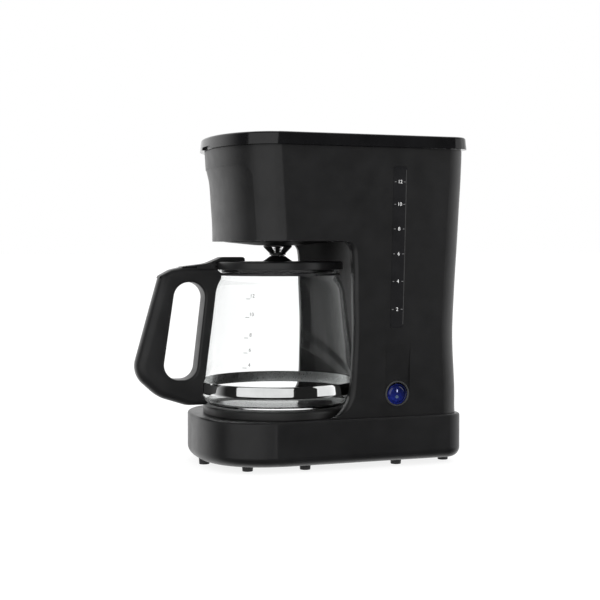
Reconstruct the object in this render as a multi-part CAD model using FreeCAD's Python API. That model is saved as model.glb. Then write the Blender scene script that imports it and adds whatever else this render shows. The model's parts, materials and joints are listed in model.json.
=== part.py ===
"""Drip coffee maker: machine, lid, switch, drip valve and jug, as separate sub-parts.

Millimetres, +Z up. The front is -Y, and the water window and the switch are on the +X side.
Each sub-part is drawn about the middle of the body, and is moved by BOX_MIDDLE_Y as it is
written, so that the origin is on the ground under the middle of the overall box.
"""

import FreeCAD
import Part

import math
import os

Vec = FreeCAD.Vector
X_DIR = Vec(1, 0, 0)
Y_DIR = Vec(0, 1, 0)
Z_DIR = Vec(0, 0, 1)

# ---- overall heights -------------------------------------------------------
GROUND = 0.0
BASE_BOTTOM = 5.0
BASE_TOP = 46.0
BODY_BOTTOM = 46.1
BODY_TOP = 288.8
LID_BOTTOM = 289.0
LID_TOP = 300.0
HEAD_BOTTOM = 205.1
WALL = 2.4
JUG_Y = -10.4                 # the jug, warming plate and brewing chamber share this axis
BOX_MIDDLE_Y = 2.39           # middle of the overall box, between the handle and the lid's rear
FAR = 160.0                   # beyond every outer face
CLEAR = 0.3                   # gap between neighbours that don't fit into each other
RUN_FIT = 0.05                # radial clearance of a pin in its bore
OVER = 1.0                    # how far a cut runs past the face that it opens

# ---- base ------------------------------------------------------------------
BASE_HALF = 75.7
BASE_FRONT = -92.8
BASE_REAR = 147.6
BASE_NOSE = 69.0              # depth of the rounded front in plan
BASE_POWER = 2.5              # squareness of the rounded front
BASE_CORNER = 16.0
BASE_FLOOR = 9.8              # top of the thick floor that carries the feet
BASE_WALL = 2.6
BASE_HEEL = 9.5               # rounding of the lower edge
BASE_BROW = 2.2               # rounding of the upper edge
COLLAR_BORE = 64.0            # radius of the opening under the warming plate
FOOT_TOP = 6.1                # top of a foot's pad
SCREW_R = 1.4                 # shank of every housing screw
FOOT_PLACES = ((0, -81.8), (48.5, -54.8), (57, -3.3), (56.7, 85.7), (49.5, 137.2))
FOOT_R = 5.2
FOOT_NECK_R = 2.4
COVER_RECESS = 7.3            # top of the recess that the bottom cover lies in
COVER_HALF = 45.0
COVER_FRONT = -62.0
COVER_REAR = 122.0
COVER_SINK = 5.9              # bearing face of its screws
COVER_SCREWS = ((0, -57.5), (40.5, 20), (40.5, 95), (0, 117.5))
BODY_SCREWS = ((55, 131), (-55, 131), (64, 58), (-64, 78))
PLATE_R = 70.0
PLATE_TOP = 54.0
PLATE_SKIN = 1.2

# ---- body: height, half width, front and rear of the tapering tower ---------
TOWER = (
    (40, 73.0, -68.6, 145.7),
    (62, 73.9, -69.0, 143.9),
    (90, 75.2, -69.4, 142.0),
    (121, 76.3, -69.7, 140.2),
    (150, 77.0, -70.0, 140.9),
    (180, 77.6, -70.4, 142.3),
    (207, 78.0, -70.9, 143.8),
    (236, 78.3, -72.5, 145.3),
    (262, 78.5, -74.1, 146.7),
    (284, 78.6, -75.6, 147.5),
    (296, 78.6, -76.2, 147.8),
)
NOSE = 52.0
NOSE_POWER = 2.16
TOWER_CORNER = 18.0
# front panel: height against how far its face is set back, easing in under the brow
PANEL_STEP = (
    (196, 2.7),
    (215, 2.7),
    (236, 2.7),
    (250, 2.7),
    (259, 2.5),
    (264, 1.9),
    (269, 1.0),
    (274, 0.25),
    (280, 0.0),
)
PANEL_HALF = 64.0
PANEL_TOP = 272.0
PANEL_CORNER = 12.0

# ---- bay that the jug stands in ---------------------------------------------
BAY_R = 83.0
BAY_FOOT_R = 76.6             # the wall closes in to this beside the plate
ARCH_R = 11.0
FLARE_R = 26.0
LIP_ROUND = 4.4
LIP = ((46, 35.0), (70, 35.0), (93, 36.2), (130, 37.1), (160, 36.2), (194, 35.0), (206, 34.6))

# ---- window, switch and inlet -------------------------------------------------
WINDOW_BOTTOM = 127.0
WINDOW_TOP = 272.0
WINDOW_WIDTH = 13.0
WINDOW_Y = (77.4, 79.9)       # middle of the window at its bottom and its top
SWITCH_Y = 79.2
SWITCH_Z = 67.0
SWITCH_FACE = 73.4            # floor of the pocket round the switch
POCKET_R = 12.0
POCKET_TOP = 108.0
ROCKER_R = 9.3
ROCKER_TILT = 5.0
ROCKER_PIVOT_X = 68.0
PIVOT_R = 1.2
HUB_R = 2.4                   # boss of the rocker round its pivot
HUB_HALF = 5.0
SWITCH_BACK = 54.0            # back of the switch's case
INLET = (-30.0, 24.0)
INLET_BORE = 3.5
INLET_BODY_R = 6.5

# ---- water system ------------------------------------------------------------
TANK_BOTTOM = 116.0
TANK_TOP = 281.8
TANK_WALL = 2.0
TANK_INSET = WALL + 0.8       # outside of the tank, behind the body's outer face
TANK_FRONT = 51.0             # front wall of the tank inside the head
RISER = (-64.0, 58.0)
OUTLET = (38.0, 95.0)
TUBE_R = 4.2
TUBE_BORE = 3.0
HOSE_R = 6.2
HOSE_BORE = 4.25
HOSE_RUN = 21.5               # height of the hoses' level runs inside the base
HOSE_BEND = 9.0
HOSE_END = 39.0               # where both hoses meet the boiling tube
BOILER_X = 38.0               # half the spacing of the boiling tube's legs
BOILER_Y = 34.0
HEATER_X = 48.0
DECK_BOTTOM = 282.0
DECK_TOP = 284.5

# ---- brewing chamber and valve -------------------------------------------------
CHAMBER_R = 55.0
BASKET_R = CHAMBER_R - 4.8    # outside of the basket at its top
BASKET_LOW_R = CHAMBER_R - 9.0
BASKET_RIBS = 16
LENS_TOP = 204.9
LENS_LOW = 201.4
SEAT_TOP = 203.5
CAGE_R = 13.2
CAGE_RIBS = 8
CAGE_RIB_HALF = 1.3
CAGE_NECK = 7.6
CAGE_TOP = 200.4
CAGE_BOTTOM = 192.6
VALVE_DROP = 2.5
SPRING_R = 3.7
SPRING_WIRE_R = 0.3
SPRING_TURNS = 4.5

# ---- lid -------------------------------------------------------------------------
LID_HALF = 81.6
LID_FRONT = -80.0
LID_REAR = 151.1
LID_TAPER = 1.2               # the skirt is this much wider at its lower edge
LID_RIM = 5.6
HINGE_Y = 147.4
HINGE_Z = 291.0
HINGE_X = 40.0
EAR_HALF = 3.0
PIN_R = 1.5

# ---- jug ---------------------------------------------------------------------------
GLASS = (
    (66.2, 54.9), (69.6, 57.6), (73.0, 61.8), (74.4, 66.0), (74.3, 71.0), (73.5, 77.5), (71.4, 94.0),
    (68.8, 114.0), (66.4, 132.0), (64.0, 151.0), (63.0, 159.0), (60.9, 166.0), (58.0, 171.2),
    (57.0, 174.7), (57.6, 178.2), (58.9, 180.6),
)
GLASS_WALL = 2.2
GLASS_FLOOR = 57.0
BAND = (65.7, 76.3)
JUG_LID_R = 61.0
JUG_LID_TOP = 186.4
DOME_R = 14.3
DOME_NECK = 7.2
DOME_TOP = 191.6
HANDLE_HALF = 10.2
# handle outline as (y, z, corner radius), clockwise from the top beside the jug lid
HANDLE = (
    (-58.0, 181.3, 0), (-104.5, 181.3, 10), (-113.5, 179.3, 14), (-124.2, 173.6, 4.6),
    (-134.4, 138.0, 120), (-141.4, 113.0, 90), (-149.3, 85.0, 22), (-125.8, 63.9, 30),
    (-100.7, 55.6, 22), (-58.0, 55.6, 0),
)
FINGER_HOLE = ((-81.2, 167.6, 14), (-110.0, 168.0, 14), (-123.3, 79.3, 14), (-91.8, 79.0, 13))
CAP_LINE = (                  # underside of the strip let into the handle's upper front corner
    (-105.0, FAR + 40, 0), (-150.0, FAR + 40, 0), (-126.5, 171.9, 0), (-123.0, 171.6, 0),
    (-112.8, 176.9, 0), (-105.0, 179.0, 0),
)
CAP_HALF = 6.0
LEVER_HALF = 8.0
LEVER_PIN = (-77.0, 183.2)    # y and z of the thumb lever's pin
LEVER_PIN_R = 1.1
LEVER_EAR = (
    (-90.0, 180.0, 0), (-73.4, 180.0, 0), (-73.4, 186.4, 2.0), (-79.5, 184.1, 6.0), (-90.0, 182.6, 0),
)
LEVER = (
    (-46.2, 190.7, 2.6), (-66.0, 190.7, 8), (-80.0, 184.8, 28), (-103.6, 181.95, 0.3),
    (-103.6, 181.45, 0), (-74.2, 181.45, 1.5), (-71.8, 186.5, 1.5), (-46.2, 186.55, 1.2),
)
CLAMP_HEAD = -104.0           # where the clamp screw's head bears, deep in the lower arm


# ---- general helpers ------------------------------------------------------------------
def box(x0, x1, y0, y1, z0, z1):
    """A block between two corners."""
    return Part.makeBox(x1 - x0, y1 - y0, z1 - z0, Vec(x0, y0, z0))


def rod(radius, start, end, direction, x=0.0, y=0.0, z=0.0):
    """A round bar along one axis, from start to end on that axis."""
    base = Vec(x, y, z) + direction * start
    return Part.makeCylinder(radius, end - start, base, direction)


def ring(outer, inner, start, end, direction, x=0.0, y=0.0, z=0.0):
    """A tube along one axis."""
    over = 1.0
    body = rod(outer, start, end, direction, x, y, z)
    return body.cut(rod(inner, start - over, end + over, direction, x, y, z))


def turned(points, x=0.0, y=JUG_Y):
    """A solid of revolution about a vertical axis, from a closed (radius, height) polygon."""
    corners = [Vec(x + r, y, z) for r, z in points]
    face = Part.Face(Part.makePolygon(corners + corners[:1]))
    return face.revolve(Vec(x, y, 0), Z_DIR, 360)


def fused(shapes):
    """One clean shape from several that touch or overlap."""
    result = shapes[0].multiFuse(shapes[1:])
    return result.removeSplitter()


def steps(start, end, count):
    """count values from start to end, both included."""
    return [start + (end - start) * i / (count - 1) for i in range(count)]


def level(table, height, column=1):
    """A column of a table of heights, read in a straight line between its rows."""
    for low, high in zip(table, table[1:]):
        if height <= high[0]:
            break
    share = (height - low[0]) / (high[0] - low[0])
    return low[column] + share * (high[column] - low[column])


def rounded(corners, place):
    """A closed wire through (u, v, radius) corners, with round corners; place(u, v) gives a point."""
    count = len(corners)
    edges = []
    ends = []
    for i, (u, v, radius) in enumerate(corners):
        here = Vec(u, v, 0)
        before = Vec(*corners[i - 1][:2], 0) - here
        after = Vec(*corners[(i + 1) % count][:2], 0) - here
        before.normalize()
        after.normalize()
        if radius == 0:
            ends.append((here, None, here))
            continue
        half = before.getAngle(after) / 2
        reach = radius / math.tan(half)
        middle = before + after
        middle.normalize()
        crown = here + middle * (radius / math.sin(half) - radius)
        ends.append((here + before * reach, crown, here + after * reach))
    for i, (start, crown, end) in enumerate(ends):
        if crown is not None:
            arc = Part.Arc(place(start.x, start.y), place(crown.x, crown.y), place(end.x, end.y))
            edges.append(arc.toShape())
        follow = ends[(i + 1) % count][0]
        if (follow - end).Length > 0.001:
            edges.append(Part.makeLine(place(end.x, end.y), place(follow.x, follow.y)))
    return Part.Wire(edges)


def side_prism(corners, half):
    """A rounded outline in the Y-Z plane, as thick as half on each side of the middle plane."""
    wire = rounded(corners, lambda u, v: Vec(-half, u, v))
    return Part.Face(wire).extrude(Vec(2 * half, 0, 0))


def plan_prism(corners, z0, z1):
    """A rounded outline in plan, from one height to another."""
    wire = rounded(corners, lambda u, v: Vec(u, v, z0))
    return Part.Face(wire).extrude(Vec(0, 0, z1 - z0))


def tube(points, bend, outer, inner=0.0):
    """A pipe or wire along straight runs joined by tangent arcs of one bend radius."""
    path = [Vec(*p) for p in points]
    edges = []
    start = path[0]
    for before, here, after in zip(path, path[1:], path[2:]):
        back = (before - here).normalize()
        ahead = (after - here).normalize()
        half = back.getAngle(ahead) / 2
        reach = bend / math.tan(half)
        middle = (back + ahead).normalize()
        crown = here + middle * (bend / math.sin(half) - bend)
        if (here + back * reach - start).Length > 0.001:
            edges.append(Part.makeLine(start, here + back * reach))
        edges.append(Part.Arc(here + back * reach, crown, here + ahead * reach).toShape())
        start = here + ahead * reach
    edges.append(Part.makeLine(start, path[-1]))
    wire = Part.Wire(edges)
    heading = (path[1] - path[0]).normalize()

    def swept(radius):
        section = Part.Wire(Part.makeCircle(radius, path[0], heading))
        return wire.makePipeShell([section], True, False)

    if inner == 0.0:
        return swept(outer)
    return swept(outer).cut(swept(inner))


# ---- plan outlines ---------------------------------------------------------------------
def plan(half, front, rear, nose, power, corner, z):
    """A plan outline: a superellipse front, straight sides and round rear corners."""
    shoulder = front + nose
    points = []
    for angle in steps(-math.pi / 2, math.pi / 2, 25):
        across = math.copysign(abs(math.sin(angle)) ** (2 / power), angle)
        along = abs(math.cos(angle)) ** (2 / power)
        points.append(Vec(half * across, shoulder - nose * along, z))
    curve = Part.BSplineCurve()
    curve.interpolate(Points=points, InitialTangent=-Y_DIR, FinalTangent=Y_DIR)
    edges = [curve.toShape()]
    inside = half - corner
    bend = corner * math.sqrt(0.5)
    edges.append(Part.makeLine(Vec(half, shoulder, z), Vec(half, rear - corner, z)))
    right = (Vec(half, rear - corner, z), Vec(inside + bend, rear - corner + bend, z), Vec(inside, rear, z))
    edges.append(Part.Arc(*right).toShape())
    edges.append(Part.makeLine(Vec(inside, rear, z), Vec(-inside, rear, z)))
    left = [Vec(-p.x, p.y, z) for p in reversed(right)]
    edges.append(Part.Arc(*left).toShape())
    edges.append(Part.makeLine(left[2], Vec(-half, shoulder, z)))
    return Part.Wire(edges)


def tower(inset=0.0, front_inset=0.0, heights=None):
    """The tapering outer form of head and column, or a copy of it set in by a wall."""
    sections = []
    for row in TOWER if heights is None else heights:
        z = row[0]
        half = level(TOWER, z, 1) - inset
        front = level(TOWER, z, 2) + inset + front_inset + (row[1] if heights else 0.0)
        rear = level(TOWER, z, 3) - inset
        sections.append(plan(half, front, rear, NOSE, NOSE_POWER, TOWER_CORNER - inset, z))
    return Part.makeLoft(sections, True, False)


def rounded_slab(outline, z0, z1, low, high, taper=0.0):
    """A slab whose outline(inset, z) is rounded by radius low at its bottom edge and high at its top.

    taper is how much further in the outline stands at the top than at the bottom.
    """
    def lean(z):
        return taper * (z - z0) / (z1 - z0)

    angles = [math.radians(a) for a in steps(0, 90, 6)]
    middle = [outline(lean(z), z) for z in (z0 + low, z1 - high)]
    parts = [Part.makeLoft(middle, True, True)]
    for radius, edge, turn in ((low, z0, 1), (high, z1, -1)):
        if radius == 0:
            continue
        sections = []
        for angle in angles:
            z = edge + turn * radius * (1 - math.sin(angle))
            sections.append(outline(lean(z) + radius * (1 - math.cos(angle)), z))
        parts.append(Part.makeLoft(sections, True, False))
    return fused(parts) if len(parts) > 1 else parts[0]


def base_plan(inset, z):
    """Plan of the base, set in by inset."""
    return plan(BASE_HALF - inset, BASE_FRONT + inset, BASE_REAR - inset,
                BASE_NOSE, BASE_POWER, BASE_CORNER - inset, z)


def bay(grow=0.0):
    """The space in front of the column and under the head, grown by a wall if asked."""
    top = HEAD_BOTTOM + grow
    heights = [BASE_TOP + FLARE_R * (1 - math.cos(math.radians(a))) for a in steps(0, 90, 7)]
    heights += [93, 130, 160]
    heights += [HEAD_BOTTOM - ARCH_R + ARCH_R * math.sin(math.radians(a)) for a in steps(0, 90, 7)]
    wires = []
    for z in heights:
        low = max(BASE_TOP + FLARE_R - z, 0)
        high = max(z - (HEAD_BOTTOM - ARCH_R), 0)
        lip = level(LIP, z) + grow
        lip -= FLARE_R - math.sqrt(max(FLARE_R ** 2 - low ** 2, 0))
        lip -= ARCH_R - math.sqrt(max(ARCH_R ** 2 - high ** 2, 0))
        narrow = min(max((90 - z) / 40, 0), 1)
        radius = BAY_R + (BAY_FOOT_R - BAY_R) * narrow + grow
        at = top if z == heights[-1] else z
        wires.append(bay_section(lip, radius, level(TOWER, z) - grow, at))
    below = bay_section(lip=9 + grow, radius=BAY_FOOT_R + grow, half=level(TOWER, BASE_TOP), z=BASE_TOP)
    skirt = Part.Face(below).extrude(Vec(0, 0, -8))
    return fused([skirt, Part.makeLoft(wires, True, False)])


def bay_section(lip, radius, half, z):
    """One level of the bay: round behind the jug, then out past the rounded lips of the column."""
    wide = 110.0
    ahead = -140.0
    turn = math.radians(78)
    reach = math.sqrt(radius ** 2 - (lip - JUG_Y) ** 2)
    start = max(half - LIP_ROUND, reach + 0.3)
    half_way = (start + LIP_ROUND * math.sin(turn / 2), lip + LIP_ROUND * (1 - math.cos(turn / 2)))
    end = (start + LIP_ROUND * math.sin(turn), lip + LIP_ROUND * (1 - math.cos(turn)))
    far = (wide, end[1] + (wide - end[0]) * math.tan(turn))
    right = [Vec(x, y, z) for x, y in ((reach, lip), (start, lip), half_way, end, far, (wide, ahead))]
    left = [Vec(-p.x, p.y, z) for p in right]
    edges = [
        Part.Arc(left[0], Vec(0, JUG_Y + radius, z), right[0]).toShape(),
        Part.makeLine(right[0], right[1]),
        Part.Arc(*right[1:4]).toShape(),
        Part.makeLine(right[3], right[4]),
        Part.makeLine(right[4], right[5]),
        Part.makeLine(right[5], left[5]),
        Part.makeLine(left[5], left[4]),
        Part.makeLine(left[4], left[3]),
        Part.Arc(left[3], left[2], left[1]).toShape(),
        Part.makeLine(left[1], left[0]),
    ]
    return Part.Wire(edges)


# ---- base -----------------------------------------------------------------------------------
def cover_outline(gap):
    """Rounded outline of the bottom cover, grown by a gap."""
    half = COVER_HALF + gap
    front = COVER_FRONT - gap
    rear = COVER_REAR + gap
    wide = 32 + gap
    tight = 12 + gap
    return ((-half, front, wide), (half, front, wide), (half, rear, tight), (-half, rear, tight))


def cover_screw_places():
    """Every place of a cover screw, mirrored where it isn't in the middle."""
    places = list(COVER_SCREWS)
    places += [(-x, y) for x, y in COVER_SCREWS if x > 0]
    return places


def foot_places():
    """Every place of a foot."""
    return list(FOOT_PLACES) + [(-x, y) for x, y in FOOT_PLACES if x > 0]


def base_shell():
    """The plinth: rounded edges, a thick floor, and openings for the plate and the column."""
    outer = rounded_slab(base_plan, BASE_BOTTOM, BASE_TOP, BASE_HEEL, BASE_BROW)
    collar = ring(PLATE_R - 1.5, COLLAR_BORE, BASE_TOP - OVER, BASE_TOP + 2.2, Z_DIR, y=JUG_Y)
    ceiling = BASE_TOP - BASE_WALL
    cavity = rounded_slab(lambda inset, z: base_plan(inset + BASE_WALL, z), BASE_FLOOR, ceiling, 6.0, 0)
    shell = outer.fuse(collar).cut(cavity)
    cut_from = BASE_FLOOR + 8
    cut_to = BASE_TOP + 5
    shell = shell.cut(rod(COLLAR_BORE, cut_from, cut_to, Z_DIR, y=JUG_Y))
    shell = shell.cut(box(-56, 56, 84, 124, cut_from, cut_to))
    shell = shell.cut(rod(HOSE_R + 1.3, cut_from, cut_to, Z_DIR, *RISER))
    shell = shell.cut(plan_prism(cover_outline(CLEAR), BASE_BOTTOM - OVER, COVER_RECESS))
    shell = shell.cut(plan_prism(cover_outline(-7), COVER_RECESS - CLEAR, BASE_FLOOR + OVER))
    posts = [rod(3.6, COVER_RECESS, BASE_FLOOR + 5, Z_DIR, x, y) for x, y in cover_screw_places()]
    shell = fused([shell] + posts)
    for x, y in cover_screw_places():
        shell = shell.cut(rod(SCREW_R + RUN_FIT, COVER_RECESS - OVER, BASE_FLOOR + 4, Z_DIR, x, y))
    for x, y in foot_places():
        shell = shell.cut(rod(FOOT_R + CLEAR, BASE_BOTTOM - OVER, FOOT_TOP + 0.1, Z_DIR, x, y))
        shell = shell.cut(rod(FOOT_NECK_R + 0.1, FOOT_TOP, BASE_FLOOR + OVER, Z_DIR, x, y))
    for x, y in BODY_SCREWS:
        shell = shell.cut(rod(SCREW_R + 0.5, BASE_TOP - 5, BASE_TOP + OVER, Z_DIR, x, y))
    inlet = rod(INLET_BODY_R + 0.1, BASE_REAR - 12, BASE_REAR + 5, Y_DIR, x=INLET[0], z=INLET[1])
    return shell.cut(inlet)


def bottom_cover():
    """The flat cover under the base, with slots that let air in."""
    plate = plan_prism(cover_outline(0), BASE_BOTTOM, 7.2)
    for x, y in cover_screw_places():
        plate = plate.cut(rod(SCREW_R + CLEAR, 4, 8, Z_DIR, x, y))
        plate = plate.cut(rod(3.1, 4, COVER_SINK, Z_DIR, x, y))
    for y in steps(40, 80, 6):
        plate = plate.cut(box(-20, 20, y - 1.4, y + 1.4, 4, 8))
    return plate


def rubber_feet():
    """Push-in feet: a pad, a neck through the floor and a head that holds it."""
    feet = []
    for x, y in foot_places():
        pad = Part.makeCone(FOOT_R - 0.5, FOOT_R, FOOT_TOP, Vec(x, y, GROUND), Z_DIR)
        neck = rod(FOOT_NECK_R, FOOT_TOP - 0.1, BASE_FLOOR + 0.7, Z_DIR, x, y)
        head = Part.makeCone(3.0, 2.0, 1.6, Vec(x, y, BASE_FLOOR + 0.6), Z_DIR)
        feet.append(fused([pad, neck, head]))
    return Part.makeCompound(feet)


def screw(x, y, z, length, head_r=2.8):
    """A pan-head screw that points up; z is the bearing face of its head."""
    head = rod(head_r, z - 1.2, z, Z_DIR, x, y)
    shank = rod(SCREW_R, z - 0.2, z - 0.2 + length, Z_DIR, x, y)
    slot = box(x - head_r - OVER, x + head_r + OVER, y - 0.3, y + 0.3, z - 1.2 - OVER, z - 0.75)
    return fused([head, shank]).cut(slot)


def cover_screws():
    """Screws that hold the bottom cover."""
    return Part.makeCompound([screw(x, y, COVER_SINK, 6.5) for x, y in cover_screw_places()])


def body_screws():
    """Screws up through the top of the base into the body."""
    under = BASE_TOP - BASE_WALL - 0.1
    return Part.makeCompound([screw(x, y, under, 14, 3.2) for x, y in BODY_SCREWS])


def warming_plate():
    """A pressed steel dish, turned down at its rim."""
    under = PLATE_TOP - PLATE_SKIN
    inside = PLATE_R - PLATE_SKIN
    profile = (
        (0, PLATE_TOP), (PLATE_R - 3.2, PLATE_TOP), (PLATE_R - 1.4, PLATE_TOP - 0.5),
        (PLATE_R - 0.3, PLATE_TOP - 1.6), (PLATE_R, PLATE_TOP - 3), (PLATE_R, BASE_TOP + CLEAR),
        (inside, BASE_TOP + CLEAR), (inside, under - 2), (inside - 2, under), (0, under),
    )
    return turned(profile)


def plate_gasket():
    """A soft ring between the plate and the collar of the base."""
    return ring(PLATE_R - 3.5, PLATE_R - 5.2, BASE_TOP + 2.3, PLATE_TOP - PLATE_SKIN - 0.1, Z_DIR, y=JUG_Y)


def heater_rod():
    """A sheathed heating rod bent into a U under the plate, with a terminal at each end."""
    z = PLATE_TOP - PLATE_SKIN - 3.4
    x = HEATER_X
    path = ((x, 22, z), (x, JUG_Y - x, z), (-x, JUG_Y - x, z), (-x, 22, z))
    sheath = tube(path, x - 0.1, 3.3)
    ends = [rod(1.2, 21, 29, Y_DIR, side, 0, z) for side in (x, -x)]
    return fused([sheath] + ends)


def water_tube():
    """Both legs and the round front of the boiling tube."""
    z = PLATE_TOP - PLATE_SKIN - TUBE_R - 0.1
    legs = []
    for side in (1, -1):
        x = BOILER_X * side
        path = ((x, BOILER_Y, HOSE_END - 7.8), (x, BOILER_Y, z), (x, JUG_Y, z))
        legs.append(tube(path, HOSE_BEND, TUBE_R, TUBE_BORE))
    front = Vec(0, JUG_Y - BOILER_X, z)
    circle = Part.Arc(Vec(BOILER_X, JUG_Y, z), front, Vec(-BOILER_X, JUG_Y, z)).toShape()
    wire = Part.Wire([circle])
    parts = []
    for radius in (TUBE_R, TUBE_BORE):
        section = Part.Wire(Part.makeCircle(radius, Vec(BOILER_X, JUG_Y, z), Y_DIR))
        parts.append(wire.makePipeShell([section], True, False))
    return fused(legs + [parts[0].cut(parts[1])])


def heater_bracket():
    """A strap that presses rod and tube up against the plate, with its stud and nut."""
    strap_top = PLATE_TOP - PLATE_SKIN - 2 * TUBE_R - 0.4
    strap = box(-53, 53, -26, -8, strap_top - 2, strap_top)
    stud = rod(2.0, strap_top - 6, PLATE_TOP - PLATE_SKIN, Z_DIR, 0, -17)
    nut = rod(4.0, strap_top - 5, strap_top - 2, Z_DIR, 0, -17)
    return fused([strap, stud, nut])


def thermostat():
    """A button thermostat against the plate, with two tabs."""
    top = PLATE_TOP - PLATE_SKIN - 0.1
    y = 28
    can = rod(8.0, top - 6, top, Z_DIR, 0, y)
    tabs = [box(x - 1.5, x + 1.5, y - 1, y + 1, top - 12, top - 5) for x in (-4, 4)]
    return fused([can] + tabs)


def thermal_fuses():
    """Two one-shot fuses in line under the plate."""
    z = PLATE_TOP - PLATE_SKIN - 2.6
    fuses = []
    for x in (-12, 12):
        case = rod(2.2, x - 6, x + 6, X_DIR, 0, 12, z)
        leads = rod(0.6, x - 10, x + 10, X_DIR, 0, 12, z)
        fuses.append(fused([case, leads]))
    return Part.makeCompound(fuses)


# ---- body ------------------------------------------------------------------------------------
def panel_recess():
    """What is cut from the head's front so that its panel lies behind the brow."""
    low = HEAD_BOTTOM - 8
    corners = ((-PANEL_HALF, low, 0), (PANEL_HALF, low, 0),
               (PANEL_HALF, PANEL_TOP, PANEL_CORNER), (-PANEL_HALF, PANEL_TOP, PANEL_CORNER))
    wire = rounded(corners, lambda u, v: Vec(u, -120, v))
    window = Part.Face(wire).extrude(Vec(0, 100, 0))
    return window.cut(tower(heights=PANEL_STEP))


def switch_pocket():
    """A shallow pill-shaped pocket round the switch that runs out above it."""
    top = POCKET_TOP + 4
    flat_top = SWITCH_Z + POCKET_R
    outside = level(TOWER, top)
    ramp = (
        (SWITCH_FACE, 40, 0), (SWITCH_FACE, flat_top, 0), (outside, top, 0), (FAR, top, 0), (FAR, 40, 0),
    )
    wire = rounded(ramp, lambda u, v: Vec(u, 50, v))
    wedge = Part.Face(wire).extrude(Vec(0, 60, 0))
    pill = rod(POCKET_R, 60, FAR, X_DIR, 0, SWITCH_Y, SWITCH_Z)
    pill = pill.fuse(box(60, FAR, SWITCH_Y - POCKET_R, SWITCH_Y + POCKET_R, SWITCH_Z, top))
    return wedge.common(pill)


def window_slot(gap):
    """The slanting slot of the water window, grown by a gap."""
    half = WINDOW_WIDTH / 2 + gap
    low, high = WINDOW_Y
    corners = ((low - half, WINDOW_BOTTOM - gap, 3), (low + half, WINDOW_BOTTOM - gap, 3),
               (high + half, WINDOW_TOP + gap, 3), (high - half, WINDOW_TOP + gap, 3))
    wire = rounded(corners, lambda u, v: Vec(60, u, v))
    return Part.Face(wire).extrude(Vec(30, 0, 0))


def body_shell():
    """Head, arch and column in one moulding, open at its top and bottom."""
    outer = tower().common(box(-100, 100, -100, 160, BODY_BOTTOM, BODY_TOP))
    outer = outer.cut(panel_recess()).cut(bay())
    cavity = tower(WALL, 3.0).cut(bay(WALL))
    shell = outer.cut(cavity)
    shell = shell.cut(rod(CHAMBER_R - 1.2, HEAD_BOTTOM - 5, HEAD_BOTTOM + 8, Z_DIR, y=JUG_Y))
    shell = shell.cut(switch_pocket())
    shell = shell.cut(rod(10.9, 60, 90, X_DIR, 0, SWITCH_Y, SWITCH_Z))
    shell = shell.cut(window_slot(0.15))
    shell = shell.cut(rod(4.7, -100, 100, X_DIR, 0, HINGE_Y, HINGE_Z))
    parts = [shell]
    for x in (HINGE_X, -HINGE_X):
        web = box(x - EAR_HALF, x + EAR_HALF, HINGE_Y - 2.2, HINGE_Y + 0.1, 276, HINGE_Z)
        knuckle = rod(3.2, x - EAR_HALF, x + EAR_HALF, X_DIR, 0, HINGE_Y, HINGE_Z)
        parts += [web, knuckle]
    for x, y in BODY_SCREWS:
        post = rod(4.4, BODY_BOTTOM, 64, Z_DIR, x, y)
        if y > 100:
            rib = box(x - 1.2, x + 1.2, y, 143.3, BODY_BOTTOM, 62)
        else:
            side = math.copysign(1, x)
            ends = sorted((x, side * 72.3))
            rib = box(ends[0], ends[1], y - 1.2, y + 1.2, BODY_BOTTOM, 62)
        parts += [post, rib]
    shell = fused(parts)
    for x, y in BODY_SCREWS:
        shell = shell.cut(rod(SCREW_R + RUN_FIT, BODY_BOTTOM - OVER, 61, Z_DIR, x, y))
    return shell.cut(rod(PIN_R + RUN_FIT, -60, 60, X_DIR, 0, HINGE_Y, HINGE_Z))


def level_window():
    """The clear strip of the water window, flush with the side of the body."""
    skin = tower().cut(tower(2.2))
    return skin.common(window_slot(0))


def deck():
    """The plate round the tank mouth and the brewing chamber, seen when the lid is up."""
    inside = tower(WALL + 0.3, 3.0)
    plate = inside.common(box(-100, 100, -100, 160, DECK_BOTTOM, DECK_TOP))
    plate = plate.cut(rod(CHAMBER_R + 0.3, DECK_BOTTOM - 1, DECK_TOP + 1, Z_DIR, y=JUG_Y))
    mouth = tank_room(TANK_INSET + TANK_WALL + 1.5, 4.5)
    plate = plate.cut(mouth.common(box(-FAR, FAR, 0, FAR, DECK_BOTTOM - OVER, DECK_TOP + OVER)))
    plate = plate.cut(rod(5.2, DECK_BOTTOM - 1, DECK_TOP + 1, Z_DIR, *RISER))
    return plate


def tank_room(inset, front_gap):
    """The room for water: inside the body, behind the bay wall and the chamber, beside the riser."""
    room = tower(inset, 3.0).cut(bay(inset))
    room = room.cut(box(-100, 100, -120, TANK_FRONT + front_gap, HEAD_BOTTOM - 2, 300))
    channel = 10.0 + front_gap
    return room.cut(box(-100, RISER[0] + channel, -20, RISER[1] + channel, 40, 300))


def water_tank():
    """The water tank, open at its top, with a round outlet in its floor."""
    outside = tank_room(TANK_INSET, 0).common(box(-FAR, FAR, 0, FAR, TANK_BOTTOM, TANK_TOP))
    inside = tank_room(TANK_INSET + TANK_WALL, TANK_WALL)
    inside = inside.common(box(-FAR, FAR, 0, FAR, TANK_BOTTOM + 2.5, TANK_TOP + OVER))
    tank = outside.cut(inside)
    return tank.cut(rod(6.0, TANK_BOTTOM - 1, TANK_BOTTOM + 4, Z_DIR, *OUTLET))


def tank_grommet():
    """A rubber seal in the tank's outlet."""
    z = TANK_BOTTOM
    body = rod(5.95, z - 2.1, z + 4, Z_DIR, *OUTLET)
    low = rod(8.5, z - 2.1, z - 0.1, Z_DIR, *OUTLET)
    high = rod(8.0, z + 2.6, z + 4, Z_DIR, *OUTLET)
    return fused([body, low, high]).cut(rod(TUBE_R, z - 5, z + 6, Z_DIR, *OUTLET))


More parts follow.
